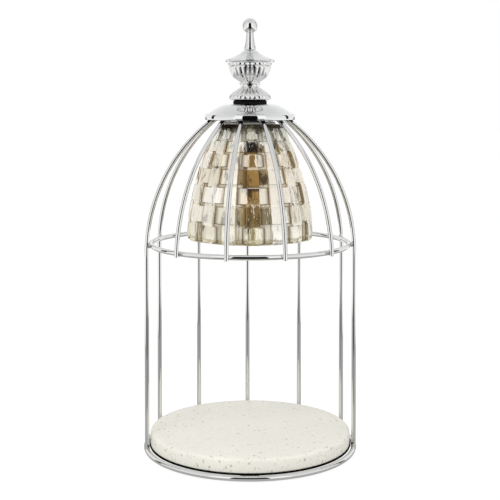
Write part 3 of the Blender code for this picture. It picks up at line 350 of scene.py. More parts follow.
def make_plated_glass():
    """Glass silvered so thinly that its amber body shows wherever the mirror has nothing bright."""
    glass = Finish("plated_glass", (1.0, 0.58, 0.20), 0.04, 0.0, IOR=14.0)
    tile, relief, around, row = map(glass.stored, ("tile", "relief", "around", "up"))
    share = glass.math("DIVIDE", row, ROWS)

    # The body: amber that changes with height and turns black at the top of the shoulder, painted shade under the
    # canopy; the column at the front is coloured apart
    amber = glass.ramp(share, (0.0, (0.90, 0.76, 0.42)), (0.15, (0.70, 0.57, 0.34)), (0.40, (0.74, 0.56, 0.31)),
                       (0.70, (0.76, 0.55, 0.28)), (0.88, (0.70, 0.66, 0.50)), (0.97, (0.30, 0.28, 0.20)),
                       (0.99, (0.02, 0.02, 0.015)))
    varied = glass.mix(glass.ramp(tile, (0.25, 0.0), (0.95, 0.45)), amber, (0.58, 0.53, 0.44))
    # The column at the front gets a deeper amber with black bands across some rows: painted reflection of the dark
    # slot in front of the lamp
    core = glass.ramp(share, (0.13, (0.80, 0.66, 0.32)), (0.15, (0.62, 0.43, 0.17)), (0.38, (0.70, 0.42, 0.14)),
                      (0.405, (0.10, 0.06, 0.03)), (0.44, (0.54, 0.32, 0.10)), (0.70, (0.56, 0.33, 0.10)),
                      (0.735, (0.04, 0.03, 0.02)), (0.835, (0.04, 0.03, 0.02)), (0.865, (0.80, 0.76, 0.56)))
    varied = glass.mix(glass.ramp(around, (0.27, 1.0), (0.33, 0.0)), varied, core)

    # Worn streaks, and painted shade in the low seams between blocks, in the body and in the mirror
    streaks = glass.noise(150.0, 5.0, glass.stretched((1.0, 1.0, 0.35)), 0.65)
    spots = glass.ramp(streaks, (0.52, 0.0), (0.62, 0.9))
    seam_shade = glass.ramp(relief, (0.0, 0.5), (0.08, 1.0), (0.45, 0.0))
    streaks_and_seam_shade = glass.mix(1.0, spots, seam_shade, "LIGHTEN")
    glass.feed("Base Color", glass.mix(streaks_and_seam_shade, varied, (0.06, 0.04, 0.02)))
    mirror = glass.mix(glass.ramp(tile, (0.1, 0.0), (0.9, 1.0)), (1.0, 1.0, 0.98), (0.54, 0.56, 0.53))
    veil = glass.mix(glass.ramp(streaks, (0.56, 0.0), (0.68, 0.7)), mirror, (0.26, 0.22, 0.17))
    # The low seams darken the mirror tint as well: painted shade in the recesses
    seam_shaded_tint = glass.mix(seam_shade, veil, (0.15, 0.12, 0.09))
    # Painted shade under the canopy: the mirror tint also goes black at the top of the shoulder
    shoulder = glass.ramp(share, (0.975, 0.0), (0.992, 0.92))
    glass.feed("Specular Tint", glass.mix(shoulder, seam_shaded_tint, (0.0, 0.0, 0.0)))
    glass.feed("Roughness", glass.ramp(glass.noise(210.0, 3.0), (0.3, 0.02), (0.75, 0.09)))

    # Pressed glass has an upright ripple, strong in some places and faint in others
    ripple = glass.noise(260.0, 3.0, glass.stretched((1.0, 1.0, 0.10)), 0.6)
    calm = glass.ramp(glass.noise(38.0, 2.0), (0.38, 0.25), (0.62, 1.0))
    glass.bump(glass.math("MULTIPLY", ripple, calm), 0.40, 0.0016)
    return glass.paint


BELL_OUTSIDE = make_plated_glass()


# %% Rubber, metal and moulded finishes
def make_plain(name, colour, roughness, metallic, grain, depth, contrast=0.12, **constants):
    """A finish with a fine grain in colour, roughness and bump."""
    made = Finish(name, colour, roughness, metallic, **constants)
    fine = made.noise(grain, 4.0)
    low = tuple(c * (1 - contrast) for c in colour)
    high = tuple(min(c * (1 + contrast), 1.0) for c in colour)
    made.feed("Base Color", made.ramp(made.noise(grain / 6, 3.0), (0.3, low), (0.7, high)))
    made.feed("Roughness", made.ramp(fine, (0.3, roughness * 0.85), (0.7, min(roughness * 1.2, 1.0))))
    made.bump(fine, 0.2, depth)
    return made.paint


RUBBER = make_plain("black_rubber", (0.006, 0.006, 0.006), 0.7, 0.0, 900.0, 0.00015, Specular_IOR_Level=0.15)
FELT = make_plain("black_felt", (0.004, 0.004, 0.004), 0.98, 0.0, 2200.0, 0.0004, 0.4, Specular_IOR_Level=0.05)
ZINC = make_plain("zinc_plate", (0.60, 0.61, 0.62), 0.34, 1.0, 700.0, 0.0001)
BRASS = make_plain("brass", (0.78, 0.58, 0.26), 0.30, 1.0, 600.0, 0.0001)
CERAMIC = make_plain("white_ceramic", (0.84, 0.82, 0.77), 0.45, 0.0, 500.0, 0.0001, 0.04)
SLEEVE_PLASTIC = make_plain("white_moulding", (0.80, 0.78, 0.72), 0.38, 0.0, 800.0, 0.00008, 0.03)
# Near black on the seat washer: painted shade under the canopy
FOAM_AS_SHADE = make_plain("grey_foam", (0.05, 0.05, 0.05), 0.92, 0.0, 1500.0, 0.0004, 0.25)
SILICONE = make_plain("silicone_lead", (0.78, 0.77, 0.73), 0.5, 0.0, 900.0, 0.00005, 0.04)
REFLECTOR = make_plain("reflector_coat", (0.86, 0.85, 0.82), 0.14, 1.0, 320.0, 0.0003, 0.05)
GLASS = make_plain("clear_glass", (0.96, 0.97, 0.97), 0.04, 0.0, 260.0, 0.0001, 0.01,
                   Transmission_Weight=0.92, IOR=1.48)
# Near black, for painted shade under the canopy and on the crown plate
SHADE_BLACK = make_plain("black_painted_shade", (0.012, 0.012, 0.013), 0.45, 0.0, 600.0, 0.0001, Specular_IOR_Level=0.3)
WELD = make_plain("braze_silver", (0.66, 0.65, 0.62), 0.20, 1.0, 1100.0, 0.0003, 0.10)

# %% [markdown]
# ## Shapes
# Most pieces are turned: a profile of radius and height, listed down its outer side, goes round
# the Z axis. The helper writes the rings of corners directly, so faces point outwards and the
# ends on the axis close in one point. Corners of the profile are eased first, because a real
# edge is never sharp and the small round is what catches light.

# %% Helper: ease the corners of a profile
def eased(profile, ease=0.0004, steps=4, closed=True):
    """Rounds each corner of (radius, height) points by a short curve; a third number sets its own."""
    count = len(profile)
    made = []
    for i, point in enumerate(profile):
        size = point[2] if len(point) > 2 else ease
        corner = np.array(point[:2])
        if size == 0 or (not closed and i in (0, count - 1)):
            made.append(tuple(corner))
            continue
        before, after = np.array(profile[i - 1][:2]), np.array(profile[(i + 1) % count][:2])
        to_before, to_after = before - corner, after - corner
        reach_in = min(size, np.linalg.norm(to_before) * 0.45)
        reach_out = min(size, np.linalg.norm(to_after) * 0.45)
        start = corner + to_before / np.linalg.norm(to_before) * reach_in
        end = corner + to_after / np.linalg.norm(to_after) * reach_out
        for k in range(steps + 1):
            t = k / steps
            made.append(tuple(start * (1 - t) ** 2 + corner * 2 * t * (1 - t) + end * t ** 2))
    return made


# %% Helper: places of a profile, listed in millimetres
def below(top, *places):
    """(radius, height) from radii and drops below a top; a third number is kept for easing."""
    return [(place[0] * MM, top - place[1] * MM, *(ease * MM for ease in place[2:])) for place in places]


# %% Helper: a smooth line through points
def flowing(points, steps=6):
    """A smooth cubic line that passes through (radius, height) points, ends kept."""
    places = [np.array(p, float) for p in points]
    places = [2 * places[0] - places[1]] + places + [2 * places[-1] - places[-2]]
    made = []
    for a, b, c, d in zip(places, places[1:], places[2:], places[3:]):
        for k in range(steps):
            t = k / steps
            made.append(tuple(0.5 * (2 * b + (c - a) * t + (2 * a - 5 * b + 4 * c - d) * t ** 2
                                     + (3 * b - 3 * c + d - a) * t ** 3)))
    made.append(tuple(places[-2]))
    return made


# %% Helper: turn a profile
def turned(name, profile, segments=96, closed=True, angle=40):
    """The profile's ring of corners at each place; points on the axis stay one corner."""
    corners, rings, faces = [], [], []
    for r, z in profile:
        if r < 1e-7:
            rings.append([len(corners)] * segments)
            corners.append((0, 0, z))
        else:
            rings.append(list(range(len(corners), len(corners) + segments)))
            corners += [(r * cos(2 * pi * k / segments), r * sin(2 * pi * k / segments), z)
                        for k in range(segments)]
    pairs = list(zip(rings, rings[1:])) + ([(rings[-1], rings[0])] if closed else [])
    for upper, lower in pairs:
        for k in range(segments):
            n = (k + 1) % segments
            face = []
            for corner in (upper[k], lower[k], lower[n], upper[n]):
                if corner not in face:
                    face.append(corner)
            if len(face) > 2:
                faces.append(face)
    made = mesh_object(name, corners, faces)
    made.data.set_sharp_from_angle(angle=radians(angle))
    return made


# %% Helper: dress a piece and set it on its body
def dress(made, finish, body, slot, *nodes):
    """Gives a piece its finish, the body that carries it and the CAD nodes that it stands for."""
    if finish is not None:
        made.data.materials.clear()
        made.data.materials.append(finish)
    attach(made, body)
    if nodes:
        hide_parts(*nodes)
    print(f"{made.name}: {len(made.data.vertices)} corners on {body}")
    return made


# %% Helper: the height at which a CAD node begins, and where it ends
def ends(node):
    return [corner.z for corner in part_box(node)]


# %% [markdown]
# ## Geometry Nodes
# Wires, weld beads, flutes, screw threads and the weave of the bell repeat or follow a rule, so
# node trees make them. A tree is built with named inputs for its sizes. The modifier's inputs
# are set by the sockets' identifiers, the result is taken as a plain mesh, and the modifier goes.

# %% Helper: a Geometry Nodes tree
class Tree(Nodes):
    """A tree with named inputs, and short calls for what the trees below share."""

    def __init__(self, name, **inputs):
        self.graph = bpy.data.node_groups.new(name, "GeometryNodeTree")
        face = self.graph.interface
        face.new_socket("Geometry", in_out="INPUT", socket_type="NodeSocketGeometry")
        self.identifiers = {}
        for label, value in inputs.items():
            kind = {int: "NodeSocketInt", float: "NodeSocketFloat"}.get(type(value), "NodeSocketMaterial")
            socket = face.new_socket(label.replace("_", " "), in_out="INPUT", socket_type=kind)
            if value is not None:
                socket.default_value = value
            self.identifiers[label] = socket.identifier
        face.new_socket("Geometry", in_out="OUTPUT", socket_type="NodeSocketGeometry")
        self.start = self.add("NodeGroupInput")

    def value(self, label):
        return self.start.outputs[label.replace("_", " ")]

    def stored(self, name):
        """A number kept on the corners of the mesh that comes in."""
        return self.add("GeometryNodeInputNamedAttribute", {"Name": name}, data_type="FLOAT").outputs["Attribute"]

    def pushed(self, height):
        """The mesh that comes in, each corner moved level and away from the Z axis."""
        place = self.add("ShaderNodeSeparateXYZ", {0: self.add("GeometryNodeInputPosition")}).outputs
        level = self.add("ShaderNodeCombineXYZ", {0: place["X"], 1: place["Y"]})
        outward = self.add("ShaderNodeVectorMath", {0: level}, operation="NORMALIZE")
        offset = self.add("ShaderNodeVectorMath", {0: outward, "Scale": height}, operation="SCALE")
        return self.add("GeometryNodeSetPosition", {0: self.start, "Offset": offset})

    def shape_of(self, source):
        """The mesh of another object."""
        return self.add("GeometryNodeObjectInfo", {"Object": source}).outputs["Geometry"]

    def lifted(self, geometry, height):
        lift = self.add("ShaderNodeCombineXYZ", {2: height})
        return self.add("GeometryNodeTransform", {"Geometry": geometry, "Translation": lift}).outputs[0]

    def spread(self, instance, points=None, turned=False, **extra):
        """An instance on each point; if turned, each round Z by the angle that its point carries."""
        inputs = {"Points": points or self.start, "Instance": instance, **extra}
        if turned:
            turn = self.add("ShaderNodeCombineXYZ", {2: self.stored("turn")})
            inputs["Rotation"] = self.add("FunctionNodeEulerToRotation", {0: turn})
        return self.add("GeometryNodeInstanceOnPoints", inputs)

    def close(self, geometry):
        """Ends the tree: instances become real, and the material is set."""
        real = self.add("GeometryNodeRealizeInstances", {0: geometry})
        painted = self.add("GeometryNodeSetMaterial", {0: real, "Material": self.value("Finish")})
        self.add("NodeGroupOutput", {0: painted})
        return self


def plain_mesh(made):
    """The object's mesh as its modifiers leave it; the modifiers go."""
    bpy.context.view_layer.update()
    mesh = bpy.data.meshes.new_from_object(made.evaluated_get(bpy.context.evaluated_depsgraph_get()))
    made.modifiers.clear()
    return mesh


def smoothed(mesh, angle):
    mesh.shade_smooth()
    mesh.set_sharp_from_angle(angle=radians(angle))


def grown(name, tree, start, finish, smooth_angle, **values):
    """Runs a tree on a starting object and returns the result as a new object with a plain mesh."""
    growth = start.modifiers.new("growth", "NODES")
    growth.node_group = tree.graph
    for label, value in {**values, "Finish": finish}.items():
        growth[tree.identifiers[label]] = value
    mesh = plain_mesh(start)
    mesh.name = name
    bpy.data.objects.remove(start)
    smoothed(mesh, smooth_angle)
    return linked(name, mesh)


def carry(made, **numbers):
    """Writes numbers on an object's corners, for a tree or a finish to read."""
    for label, values in numbers.items():
        kept = made.data.attributes.new(label, "FLOAT", "POINT")
        kept.data.foreach_set("value", np.array(values, np.float32))
    return made


def points_object(name, places=((0, 0, 0),), **numbers):
    """Loose corners that carry numbers, for a tree to put things on."""
    return carry(mesh_object(name, places, [], smooth=False), **numbers)


# %% [markdown]
# ## The cage
# Eleven wires run up and over to the crown. Seven stand on the base ring; four end on the mid
# ring, so that the front is open for the candle. All have the same bend, so one tree takes the
# line of a wire, turns it round the axis for each azimuth, and gives it its round section.

# %% Sizes of the cage, as the CAD has them
LEG_RADIUS = 1.75 * MM
RING_RADIUS = 2.0 * MM
LEG_CIRCLE = 82.2 * MM
BASE_RING_HEIGHT = 2.7 * MM
MID_RING_HEIGHT = 163.1 * MM
ARCH_SPRING = 157.2 * MM
WIRE_TOP = 266.5 * MM
TOP_BEND = 8.0 * MM
TOP_BEND_PLACE = 20.3 * MM
INNER_END = 15.0 * MM
LEG_AZIMUTHS = (84.5, 114.0, 149.3, 181.5, 212.1, 245.1, 281.7)
RIB_AZIMUTHS = (-41.5, -12.1, 18.2, 47.9)

# The arch is the circle that leaves the legs upright and runs smoothly into the top bend
arch_run, arch_rise = LEG_CIRCLE - TOP_BEND_PLACE, WIRE_TOP - TOP_BEND - ARCH_SPRING
ARCH_RADIUS = (arch_run ** 2 + arch_rise ** 2 - TOP_BEND ** 2) / (2 * (arch_run - TOP_BEND))
ARCH_CENTRE = LEG_CIRCLE - ARCH_RADIUS
ARCH_SWEEP = atan2(arch_rise, TOP_BEND_PLACE - ARCH_CENTRE)


def arch_radius(z):
    rise = max(z - ARCH_SPRING, 0)
    return ARCH_CENTRE + (ARCH_RADIUS ** 2 - rise ** 2) ** 0.5


def wire_line(foot):
    """The middle line of a wire, from its foot to its inner end, as (radius, height)."""
    bend_r, bend_z = TOP_BEND_PLACE, WIRE_TOP - TOP_BEND
    line = []
    if foot < ARCH_SPRING:
        line += [(LEG_CIRCLE, foot + (ARCH_SPRING - foot) * k / 6) for k in range(6)]
    rise = max(foot - ARCH_SPRING, 0)
    start = atan2(rise, (ARCH_RADIUS ** 2 - rise ** 2) ** 0.5)
    end = ARCH_SWEEP
    for k in range(41):
        a = start + (end - start) * k / 40
        line.append((ARCH_CENTRE + ARCH_RADIUS * cos(a), ARCH_SPRING + ARCH_RADIUS * sin(a)))
    for k in range(1, 9):
        a = end + (pi / 2 - end) * k / 8
        line.append((bend_r + TOP_BEND * cos(a), bend_z + TOP_BEND * sin(a)))
    line.append((INNER_END, bend_z + TOP_BEND))
    return line


# %% Tree: a wire's line, given its section and turned to each azimuth
def wire_tree(line):
    """The line, (radius, height) places in the front plane, is kept as a mesh in the file."""
    mesh = bpy.data.meshes.new("wire_line")
    mesh.from_pydata([(0, -r, z) for r, z in line], [(i, i + 1) for i in range(len(line) - 1)], [])
    tree = Tree("cage_wires", Wire_Radius=LEG_RADIUS, Sides=20, Finish=None)
    path = tree.add("GeometryNodeMeshToCurve", {0: tree.shape_of(bpy.data.objects.new("wire_line", mesh))})
    section = tree.add("GeometryNodeCurvePrimitiveCircle", {"Resolution": tree.value("Sides"),
                                                            "Radius": tree.value("Wire_Radius")})
    tube = tree.add("GeometryNodeCurveToMesh", {"Curve": path, "Profile Curve": section, "Fill Caps": True})
    return tree.close(tree.spread(tube, turned=True))


# %% Make the long wires and the short front ribs
LEG_FOOT = BASE_RING_HEIGHT + RING_RADIUS * 0.6
RIB_FOOT = MID_RING_HEIGHT - RING_RADIUS * 1.1
for name, azimuths, foot, nodes in (("long_wires", LEG_AZIMUTHS, LEG_FOOT, [f"leg_{i}" for i in range(1, 8)]),
                                    ("front_wires", RIB_AZIMUTHS, RIB_FOOT,
                                     [f"front_rib_{i}" for i in range(1, 5)])):
    start = points_object(name, [(0, 0, 0)] * len(azimuths), turn=[radians(a) for a in azimuths])
    wires = grown(name, wire_tree(wire_line(foot)), start, CHROME, 45)
    dress(wires, CHROME, "cage", "chrome", *nodes)


# %% Make the two rings
def ring_profile(centre, height, radius, steps=24):
    return [(centre + radius * cos(2 * pi * k / steps), height - radius * sin(2 * pi * k / steps))
            for k in range(steps)]


MID_RING_CENTRE = arch_radius(MID_RING_HEIGHT) - LEG_RADIUS - 0.3 * MM - RING_RADIUS
for name, centre, height in (("base_ring", LEG_CIRCLE, BASE_RING_HEIGHT),
                             ("mid_ring", MID_RING_CENTRE, MID_RING_HEIGHT)):
    ring = turned(f"{name}_wire", ring_profile(centre, height, RING_RADIUS), 240, angle=80)
    dress(ring, CHROME, "cage", "chrome", name)

# %% [markdown]
# Every crossing is resistance welded and then plated, which leaves a small smooth bead. A tree
# puts one flattened bead at each crossing. Its points carry the azimuth and three sizes.

# %% Tree and points for the weld beads
def bead_tree():
    tree = Tree("weld_beads", Bead_Radius=1.0, Finish=None)
    ball = tree.add("GeometryNodeMeshUVSphere", {"Segments": 16, "Rings": 10, "Radius": tree.value("Bead_Radius")})
    size = tree.add("ShaderNodeCombineXYZ", {0: tree.stored("wide"), 1: tree.stored("deep"),
                                             2: tree.stored("tall")})
    return tree.close(tree.spread(ball, turned=True, Scale=size))


# Each crossing: azimuth, radius, height, and the bead's half sizes across, outwards and up
crossings = [(a, LEG_CIRCLE, BASE_RING_HEIGHT + 1.5 * MM, 2.5 * MM, 2.05 * MM, 1.5 * MM) for a in LEG_AZIMUTHS]
crossings += [(a, MID_RING_CENTRE + RING_RADIUS, MID_RING_HEIGHT, 2.3 * MM, 1.0 * MM, 1.9 * MM)
              for a in LEG_AZIMUTHS + RIB_AZIMUTHS]
azimuths, radii, heights, wide, deep, tall = zip(*crossings)
turns = [radians(a) for a in azimuths]
start = points_object("weld_beads", [(r * sin(t), -r * cos(t), z) for t, r, z in zip(turns, radii, heights)],
                      turn=turns, wide=wide, deep=deep, tall=tall)
dress(grown("weld_beads", bead_tree(), start, WELD, 60), WELD, "cage", "chrome")

# %% [markdown]
# ## The bell
# The bell is one turned wall whose outer side shows a basket weave of flat facets: 16 columns
# and 7 rows. In each cell either the upright strand or the level strand lies on top, by turns.
# An upright strand shows one flat tall face; a level strand shows a flat middle and two sides
# that dive under its neighbours. The mesh carries how far round and how far up each corner is,
# counted in cells, and the tree works out the height of the weave there from that rule.

# %% Profile of the bell
BELL_RADIUS = 49.85 * MM
BELL_WIDEST = 173.2 * MM
BELL_POWER = 1.54
BELL_MOUTH, BELL_TOP = ends("glass_shade")
SHOULDER_DROP = 1.6 * MM
SHOULDER_RADIUS = 26.5 * MM
BELL_WALL = 3.0 * MM
BELL_HOLE = 15.5 * MM
INNER_RINGS = 26
WEAVE_DEPTH = 1.9 * MM
ROW_SHARES = (0.0, 0.163, 0.335, 0.500, 0.652, 0.778, 0.889, 1.0)
COLUMNS = 16
WEAVE_TURN = 3.2
# How far the flat core of a level block reaches in each row, counted in columns
CORE_HALVES = (0.05, 0.26, 0.26, 0.26, 0.17, 0.26, 0.06)

BELL_SHOULDER = BELL_TOP - SHOULDER_DROP
shoulder_share = (1 - (SHOULDER_RADIUS / BELL_RADIUS) ** BELL_POWER) ** (1 / BELL_POWER)
BELL_CURVE = (BELL_SHOULDER - BELL_WIDEST) / shoulder_share


def bell_radius(z):
    rise = abs(z - BELL_WIDEST) / BELL_CURVE
    return BELL_RADIUS * (1 - rise ** BELL_POWER) ** (1 / BELL_POWER)


print("bell from", round(BELL_MOUTH / MM, 1), "to", round(BELL_TOP / MM, 1), "mm, curve", round(BELL_CURVE / MM, 2))
CELL_STEPS_UP = (-0.5, -0.44, -0.39, -0.36, -0.30, -0.20, -0.07, 0.07, 0.20, 0.30, 0.36, 0.39, 0.44)
CELL_STEPS_ROUND = (-0.5, -0.42, -0.34, -0.30, -0.28, -0.26, -0.24, -0.19, -0.13, -0.08, -0.06, 0.0, 0.06, 0.08,
                    0.13, 0.19, 0.24, 0.26, 0.28, 0.30, 0.34, 0.42)


# %% Mesh of the bell, with its cell coordinates
def bell_mesh():
    """Rings down the outer side, then the lip and up the inner side; angles follow the columns."""
    span = BELL_SHOULDER - BELL_MOUTH
    outer = []
    for row, (low, high) in enumerate(zip(ROW_SHARES, ROW_SHARES[1:])):
        for step in CELL_STEPS_UP:
            z = BELL_MOUTH + span * (low + (high - low) * (step + 0.5))
            outer.append((bell_radius(z) - WEAVE_DEPTH, z, row + step + 0.5, 1.0))
    shoulder = bell_radius(BELL_SHOULDER) - WEAVE_DEPTH
    top = [(shoulder - 2.4 * MM, BELL_TOP), (shoulder - 1.0 * MM, BELL_TOP - 0.35 * MM), (shoulder, BELL_SHOULDER)]
    lip = bell_radius(BELL_MOUTH) - WEAVE_DEPTH * 0.2
    plain = [(lip, BELL_MOUTH + 1.0 * MM), (lip - 0.5 * MM, BELL_MOUTH + 0.1 * MM),
             (lip - 1.4 * MM, BELL_MOUTH - 0.1 * MM), (lip - 2.6 * MM, BELL_MOUTH + 0.5 * MM)]
    for k in range(1, INNER_RINGS + 1):
        z = BELL_MOUTH + (BELL_SHOULDER - BELL_WALL - BELL_MOUTH) * k / INNER_RINGS
        plain.append((bell_radius(z) - WEAVE_DEPTH - BELL_WALL * 0.8, z))
    plain += [(plain[-1][0] - 2.0 * MM, BELL_TOP - BELL_WALL), (BELL_HOLE, BELL_TOP - BELL_WALL),
              (BELL_HOLE, BELL_TOP - 0.4 * MM), (BELL_HOLE + 0.4 * MM, BELL_TOP)]
    rings = [(r, z, ROWS, 0.0) for r, z in top] + outer[::-1][1:] + [(r, z, 0.0, 0.0) for r, z in plain]
    turns = [(column + step) / COLUMNS for column in range(COLUMNS) for step in CELL_STEPS_ROUND]
    count = len(turns)
    corners, faces = [], []
    for i, (r, z, _, _) in enumerate(rings):
        j = (i + 1) % len(rings)
        for k, turn in enumerate(turns):
            n = (k + 1) % count
            angle = 2 * pi * turn + radians(WEAVE_TURN) - pi / 2
            corners.append((r * cos(angle), r * sin(angle), z))
            faces.append((i * count + k, j * count + k, j * count + n, i * count + n))
    rows, shares = np.repeat([ring[2] for ring in rings], count), np.repeat([ring[3] for ring in rings], count)
    return carry(mesh_object("bell", corners, faces), around=np.tile(turns, len(rings)) * COLUMNS, up=rows,
                 weave=shares, core=[CORE_HALVES[min(int(row), len(CORE_HALVES) - 1)] for row in rows])


# %% Tree: the height of the weave from its rule
# Counted in columns: a level block has gone under at this distance from its flat core
DIVE_REACH = 0.44
# The dive is a little hollow, by this share of the radius
DIVE_HOLLOW = 0.0148
# Counted in rows: the bevel at the top and the foot of an upright block starts here
CROWN_START = 0.42
# A block fades into its neighbours over these widths, counted in cells
SIDE_FADE, END_FADE = 0.04, 0.05
PEAK = 0.3 * MM


def weave_tree():
    tree = Tree("basket_weave", Depth=WEAVE_DEPTH, Upright_Half=0.28, Flat_Half=0.26, Level_Half=0.72,
                Upright_Reach=0.60, Level_Reach=0.415, Level_Height=0.88, Bevel_Slope=2.3, Dive_Slope=1.75,
                Top_Slope=2.2, Tilt_Round=0.9 * MM, Tilt_Up=0.5 * MM, Cell_Angle=2 * pi / COLUMNS, Finish=None)
    m, value = tree.math, tree.value
    add, sub, mul, div, least, most = (partial(m, word) for word in ("ADD", "SUBTRACT", "MULTIPLY", "DIVIDE",
                                                                     "MINIMUM", "MAXIMUM"))
    size, sign, wrap = partial(m, "ABSOLUTE"), partial(m, "SIGN"), partial(m, "FLOORED_MODULO")
    around, up, depth, flat_half = tree.stored("around"), tree.stored("up"), value("Depth"), value("Flat_Half")
    column = m("ROUND", around)
    row = m("FLOOR", least(up, ROWS - 0.001))
    offset, climb = sub(around, column), sub(sub(up, row), 0.5)
    side, rise = size(offset), size(climb)
    standing = wrap(add(column, row), 2.0)
    lying = sub(1.0, standing)

    # Where a strand dives under its neighbour, it is measured from the middle of its own cell
    level_offset = sub(offset, mul(standing, sign(offset)))
    level_column = wrap(sub(around, level_offset), float(COLUMNS))
    level_side = size(level_offset)
    upright_climb = sub(climb, mul(lying, sign(climb)))
    upright_row = sub(up, upright_climb)
    upright_rise = size(upright_climb)

    def falls(amount, edge, width):
        """1 inside an edge and 0 outside, over a short width."""
        return least(most(add(div(sub(edge, amount), width), 0.5), 0.0), 1.0)

    def chance(across, upward, layer):
        """Two numbers about 0 for the lean of a block, and one from 0 to 1 for its plating."""
        cell = tree.add("ShaderNodeCombineXYZ", {0: m("ROUND", mul(across, 2.0)), 1: m("ROUND", mul(upward, 2.0)),
                                                 2: layer})
        drawn = tree.add("ShaderNodeTexWhiteNoise", {"Vector": cell}, noise_dimensions="3D").outputs
        parts = tree.add("ShaderNodeSeparateXYZ", {0: drawn["Color"]}).outputs
        return sub(parts[0], 0.5), sub(parts[1], 0.5), drawn["Value"]

    def leaning(turn, sideways, lean, upward, this_column):
        """How far a lean lifts a face at a place; the column at the front stays straight."""
        tilt = add(mul(mul(turn, sideways), value("Tilt_Round")), mul(mul(lean, upward), value("Tilt_Up")))
        return mul(tilt, least(this_column, 1.0))

    # A pressed face is a plane: it stands further out at its sides than a round wall would
    place = tree.add("ShaderNodeSeparateXYZ", {0: tree.add("GeometryNodeInputPosition")}).outputs
    radius = m("SQRT", add(m("POWER", place["X"], 2.0), m("POWER", place["Y"], 2.0)))

    def plane(amount):
        angle = mul(least(amount, flat_half), value("Cell_Angle"))
        return mul(radius, sub(div(1.0, m("COSINE", angle)), 1.0))

    # Level strand: a flat core, a bevel beside it, then a long plane that dives
    turn, lean, level_tile = chance(level_column, row, 3.0)
    bevel = most(sub(least(level_side, flat_half), tree.stored("core")), 0.0)
    beyond = most(sub(level_side, flat_half), 0.0)
    dived = least(div(beyond, DIVE_REACH), 1.0)
    share = sub(value("Level_Height"), mul(bevel, value("Bevel_Slope")))
    share = sub(share, mul(beyond, value("Dive_Slope")))
    level = mul(most(share, 0.0), depth)
    tilt = leaning(turn, level_offset, lean, climb, level_column)
    level = add(level, mul(add(tilt, plane(level_side)), sub(1.0, dived)))
    level = sub(level, mul(mul(radius, DIVE_HOLLOW), mul(dived, sub(1.0, dived))))
    level = mul(level, mul(falls(level_side, value("Level_Half"), SIDE_FADE),
                           falls(rise, value("Level_Reach"), END_FADE)))

    # Upright strand: one flat face, with a bevel at its top and its foot
    turn, lean, upright_tile = chance(column, upright_row, 8.0)
    crown = most(sub(upright_rise, CROWN_START), 0.0)
    upright = mul(sub(1.0, mul(crown, value("Top_Slope"))), depth)
    tilt = leaning(turn, offset, lean, upright_climb, size(column))
    upright = add(upright, add(tilt, plane(side)))
    upright = mul(upright, mul(falls(side, value("Upright_Half"), SIDE_FADE),
                               falls(upright_rise, value("Upright_Reach"), END_FADE)))

    height = mul(least(most(level, upright), add(depth, PEAK)), tree.stored("weave"))
    higher = m("GREATER_THAN", upright, level)
    tile = add(mul(higher, upright_tile), mul(sub(1.0, higher), level_tile))
    moved = tree.pushed(height)
    for label, number in (("tile", tile), ("relief", div(height, depth))):
        moved = tree.add("GeometryNodeStoreNamedAttribute", {0: moved, "Name": label, "Value": number},
                         data_type="FLOAT", domain="POINT")
    return tree.close(moved)


bell = grown("woven_bell", weave_tree(), bell_mesh(), BELL_OUTSIDE, 14)
dress(bell, BELL_OUTSIDE, "shade", "champagne_plated_glass", "glass_shade")

# %% [markdown]
# ## Canopy
# The canopy is a spun dome that covers the crown: a flat seat for the finial, a long slope, a
# rounded edge and a short upright rim. A rubber grommet sits in its slope at the back.

# %% Canopy and its hole
CANOPY_TOP = 273.3 * MM
CANOPY_RIM = 261.2 * MM
CANOPY_RADIUS = 35.5 * MM
CANOPY_WALL = 0.8 * MM
BAND_TOP = CANOPY_RIM + 4.3 * MM
NIPPLE_HOLE = 5.3 * MM
SEAT = 10.8 * MM
DOME = ((13.5, 273.45), (17.0, 273.40), (20.0, 273.05), (24.3, 271.5), (29.1, 268.75), (33.2, 266.0))


def canopy_profile():
    smooth = flowing([(r * MM, z * MM) for r, z in DOME] + [(CANOPY_RADIUS - 0.5 * MM, BAND_TOP + 0.12 * MM)], 7)
    outside = [(NIPPLE_HOLE, CANOPY_TOP + 0.1 * MM), (SEAT, CANOPY_TOP + 0.13 * MM)] + smooth
    outside += [(CANOPY_RADIUS, BAND_TOP - 0.35 * MM), (CANOPY_RADIUS, CANOPY_RIM + 0.3 * MM),
                (CANOPY_RADIUS - 0.25 * MM, CANOPY_RIM)]
    inner = CANOPY_RADIUS - CANOPY_WALL
    inside = [(inner + 0.1 * MM, CANOPY_RIM), (inner, CANOPY_RIM + 0.3 * MM), (inner, BAND_TOP - CANOPY_WALL * 0.7)]
    inside += [(r - CANOPY_WALL * 0.5, z - CANOPY_WALL) for r, z in smooth[::-1][2:]]
    inside += [(SEAT, CANOPY_TOP - CANOPY_WALL), (NIPPLE_HOLE, CANOPY_TOP - CANOPY_WALL)]
    return outside + inside


def surface_frame(azimuth, radius, height, tilt):
    """A place on the dome, with Z along the outward normal there."""
    turn = radians(azimuth)
    place = Matrix.Translation((radius * sin(turn), -radius * cos(turn), height))
    return place @ Matrix.Rotation(turn, 4, "Z") @ Matrix.Rotation(tilt, 4, "X")


# The inlet sits on the slope as the CAD has it, from three (radius, height) places
INLET_AZIMUTH = 165.4
INLET_SHARE = 0.70
SLOPE = [(r * MM, z * MM) for r, z in ((24.28, 271.35), (29.12, 268.776), (33.74, 265.968))]
(high_r, high_z), (middle_r, middle_z), (low_r, low_z) = SLOPE
inlet_radius = high_r + (low_r - high_r) * INLET_SHARE
inlet_height = middle_z + (low_z - middle_z) * (inlet_radius - middle_r) / (low_r - middle_r)
INLET = surface_frame(INLET_AZIMUTH, inlet_radius, inlet_height, atan2(high_z - low_z, low_r - high_r))

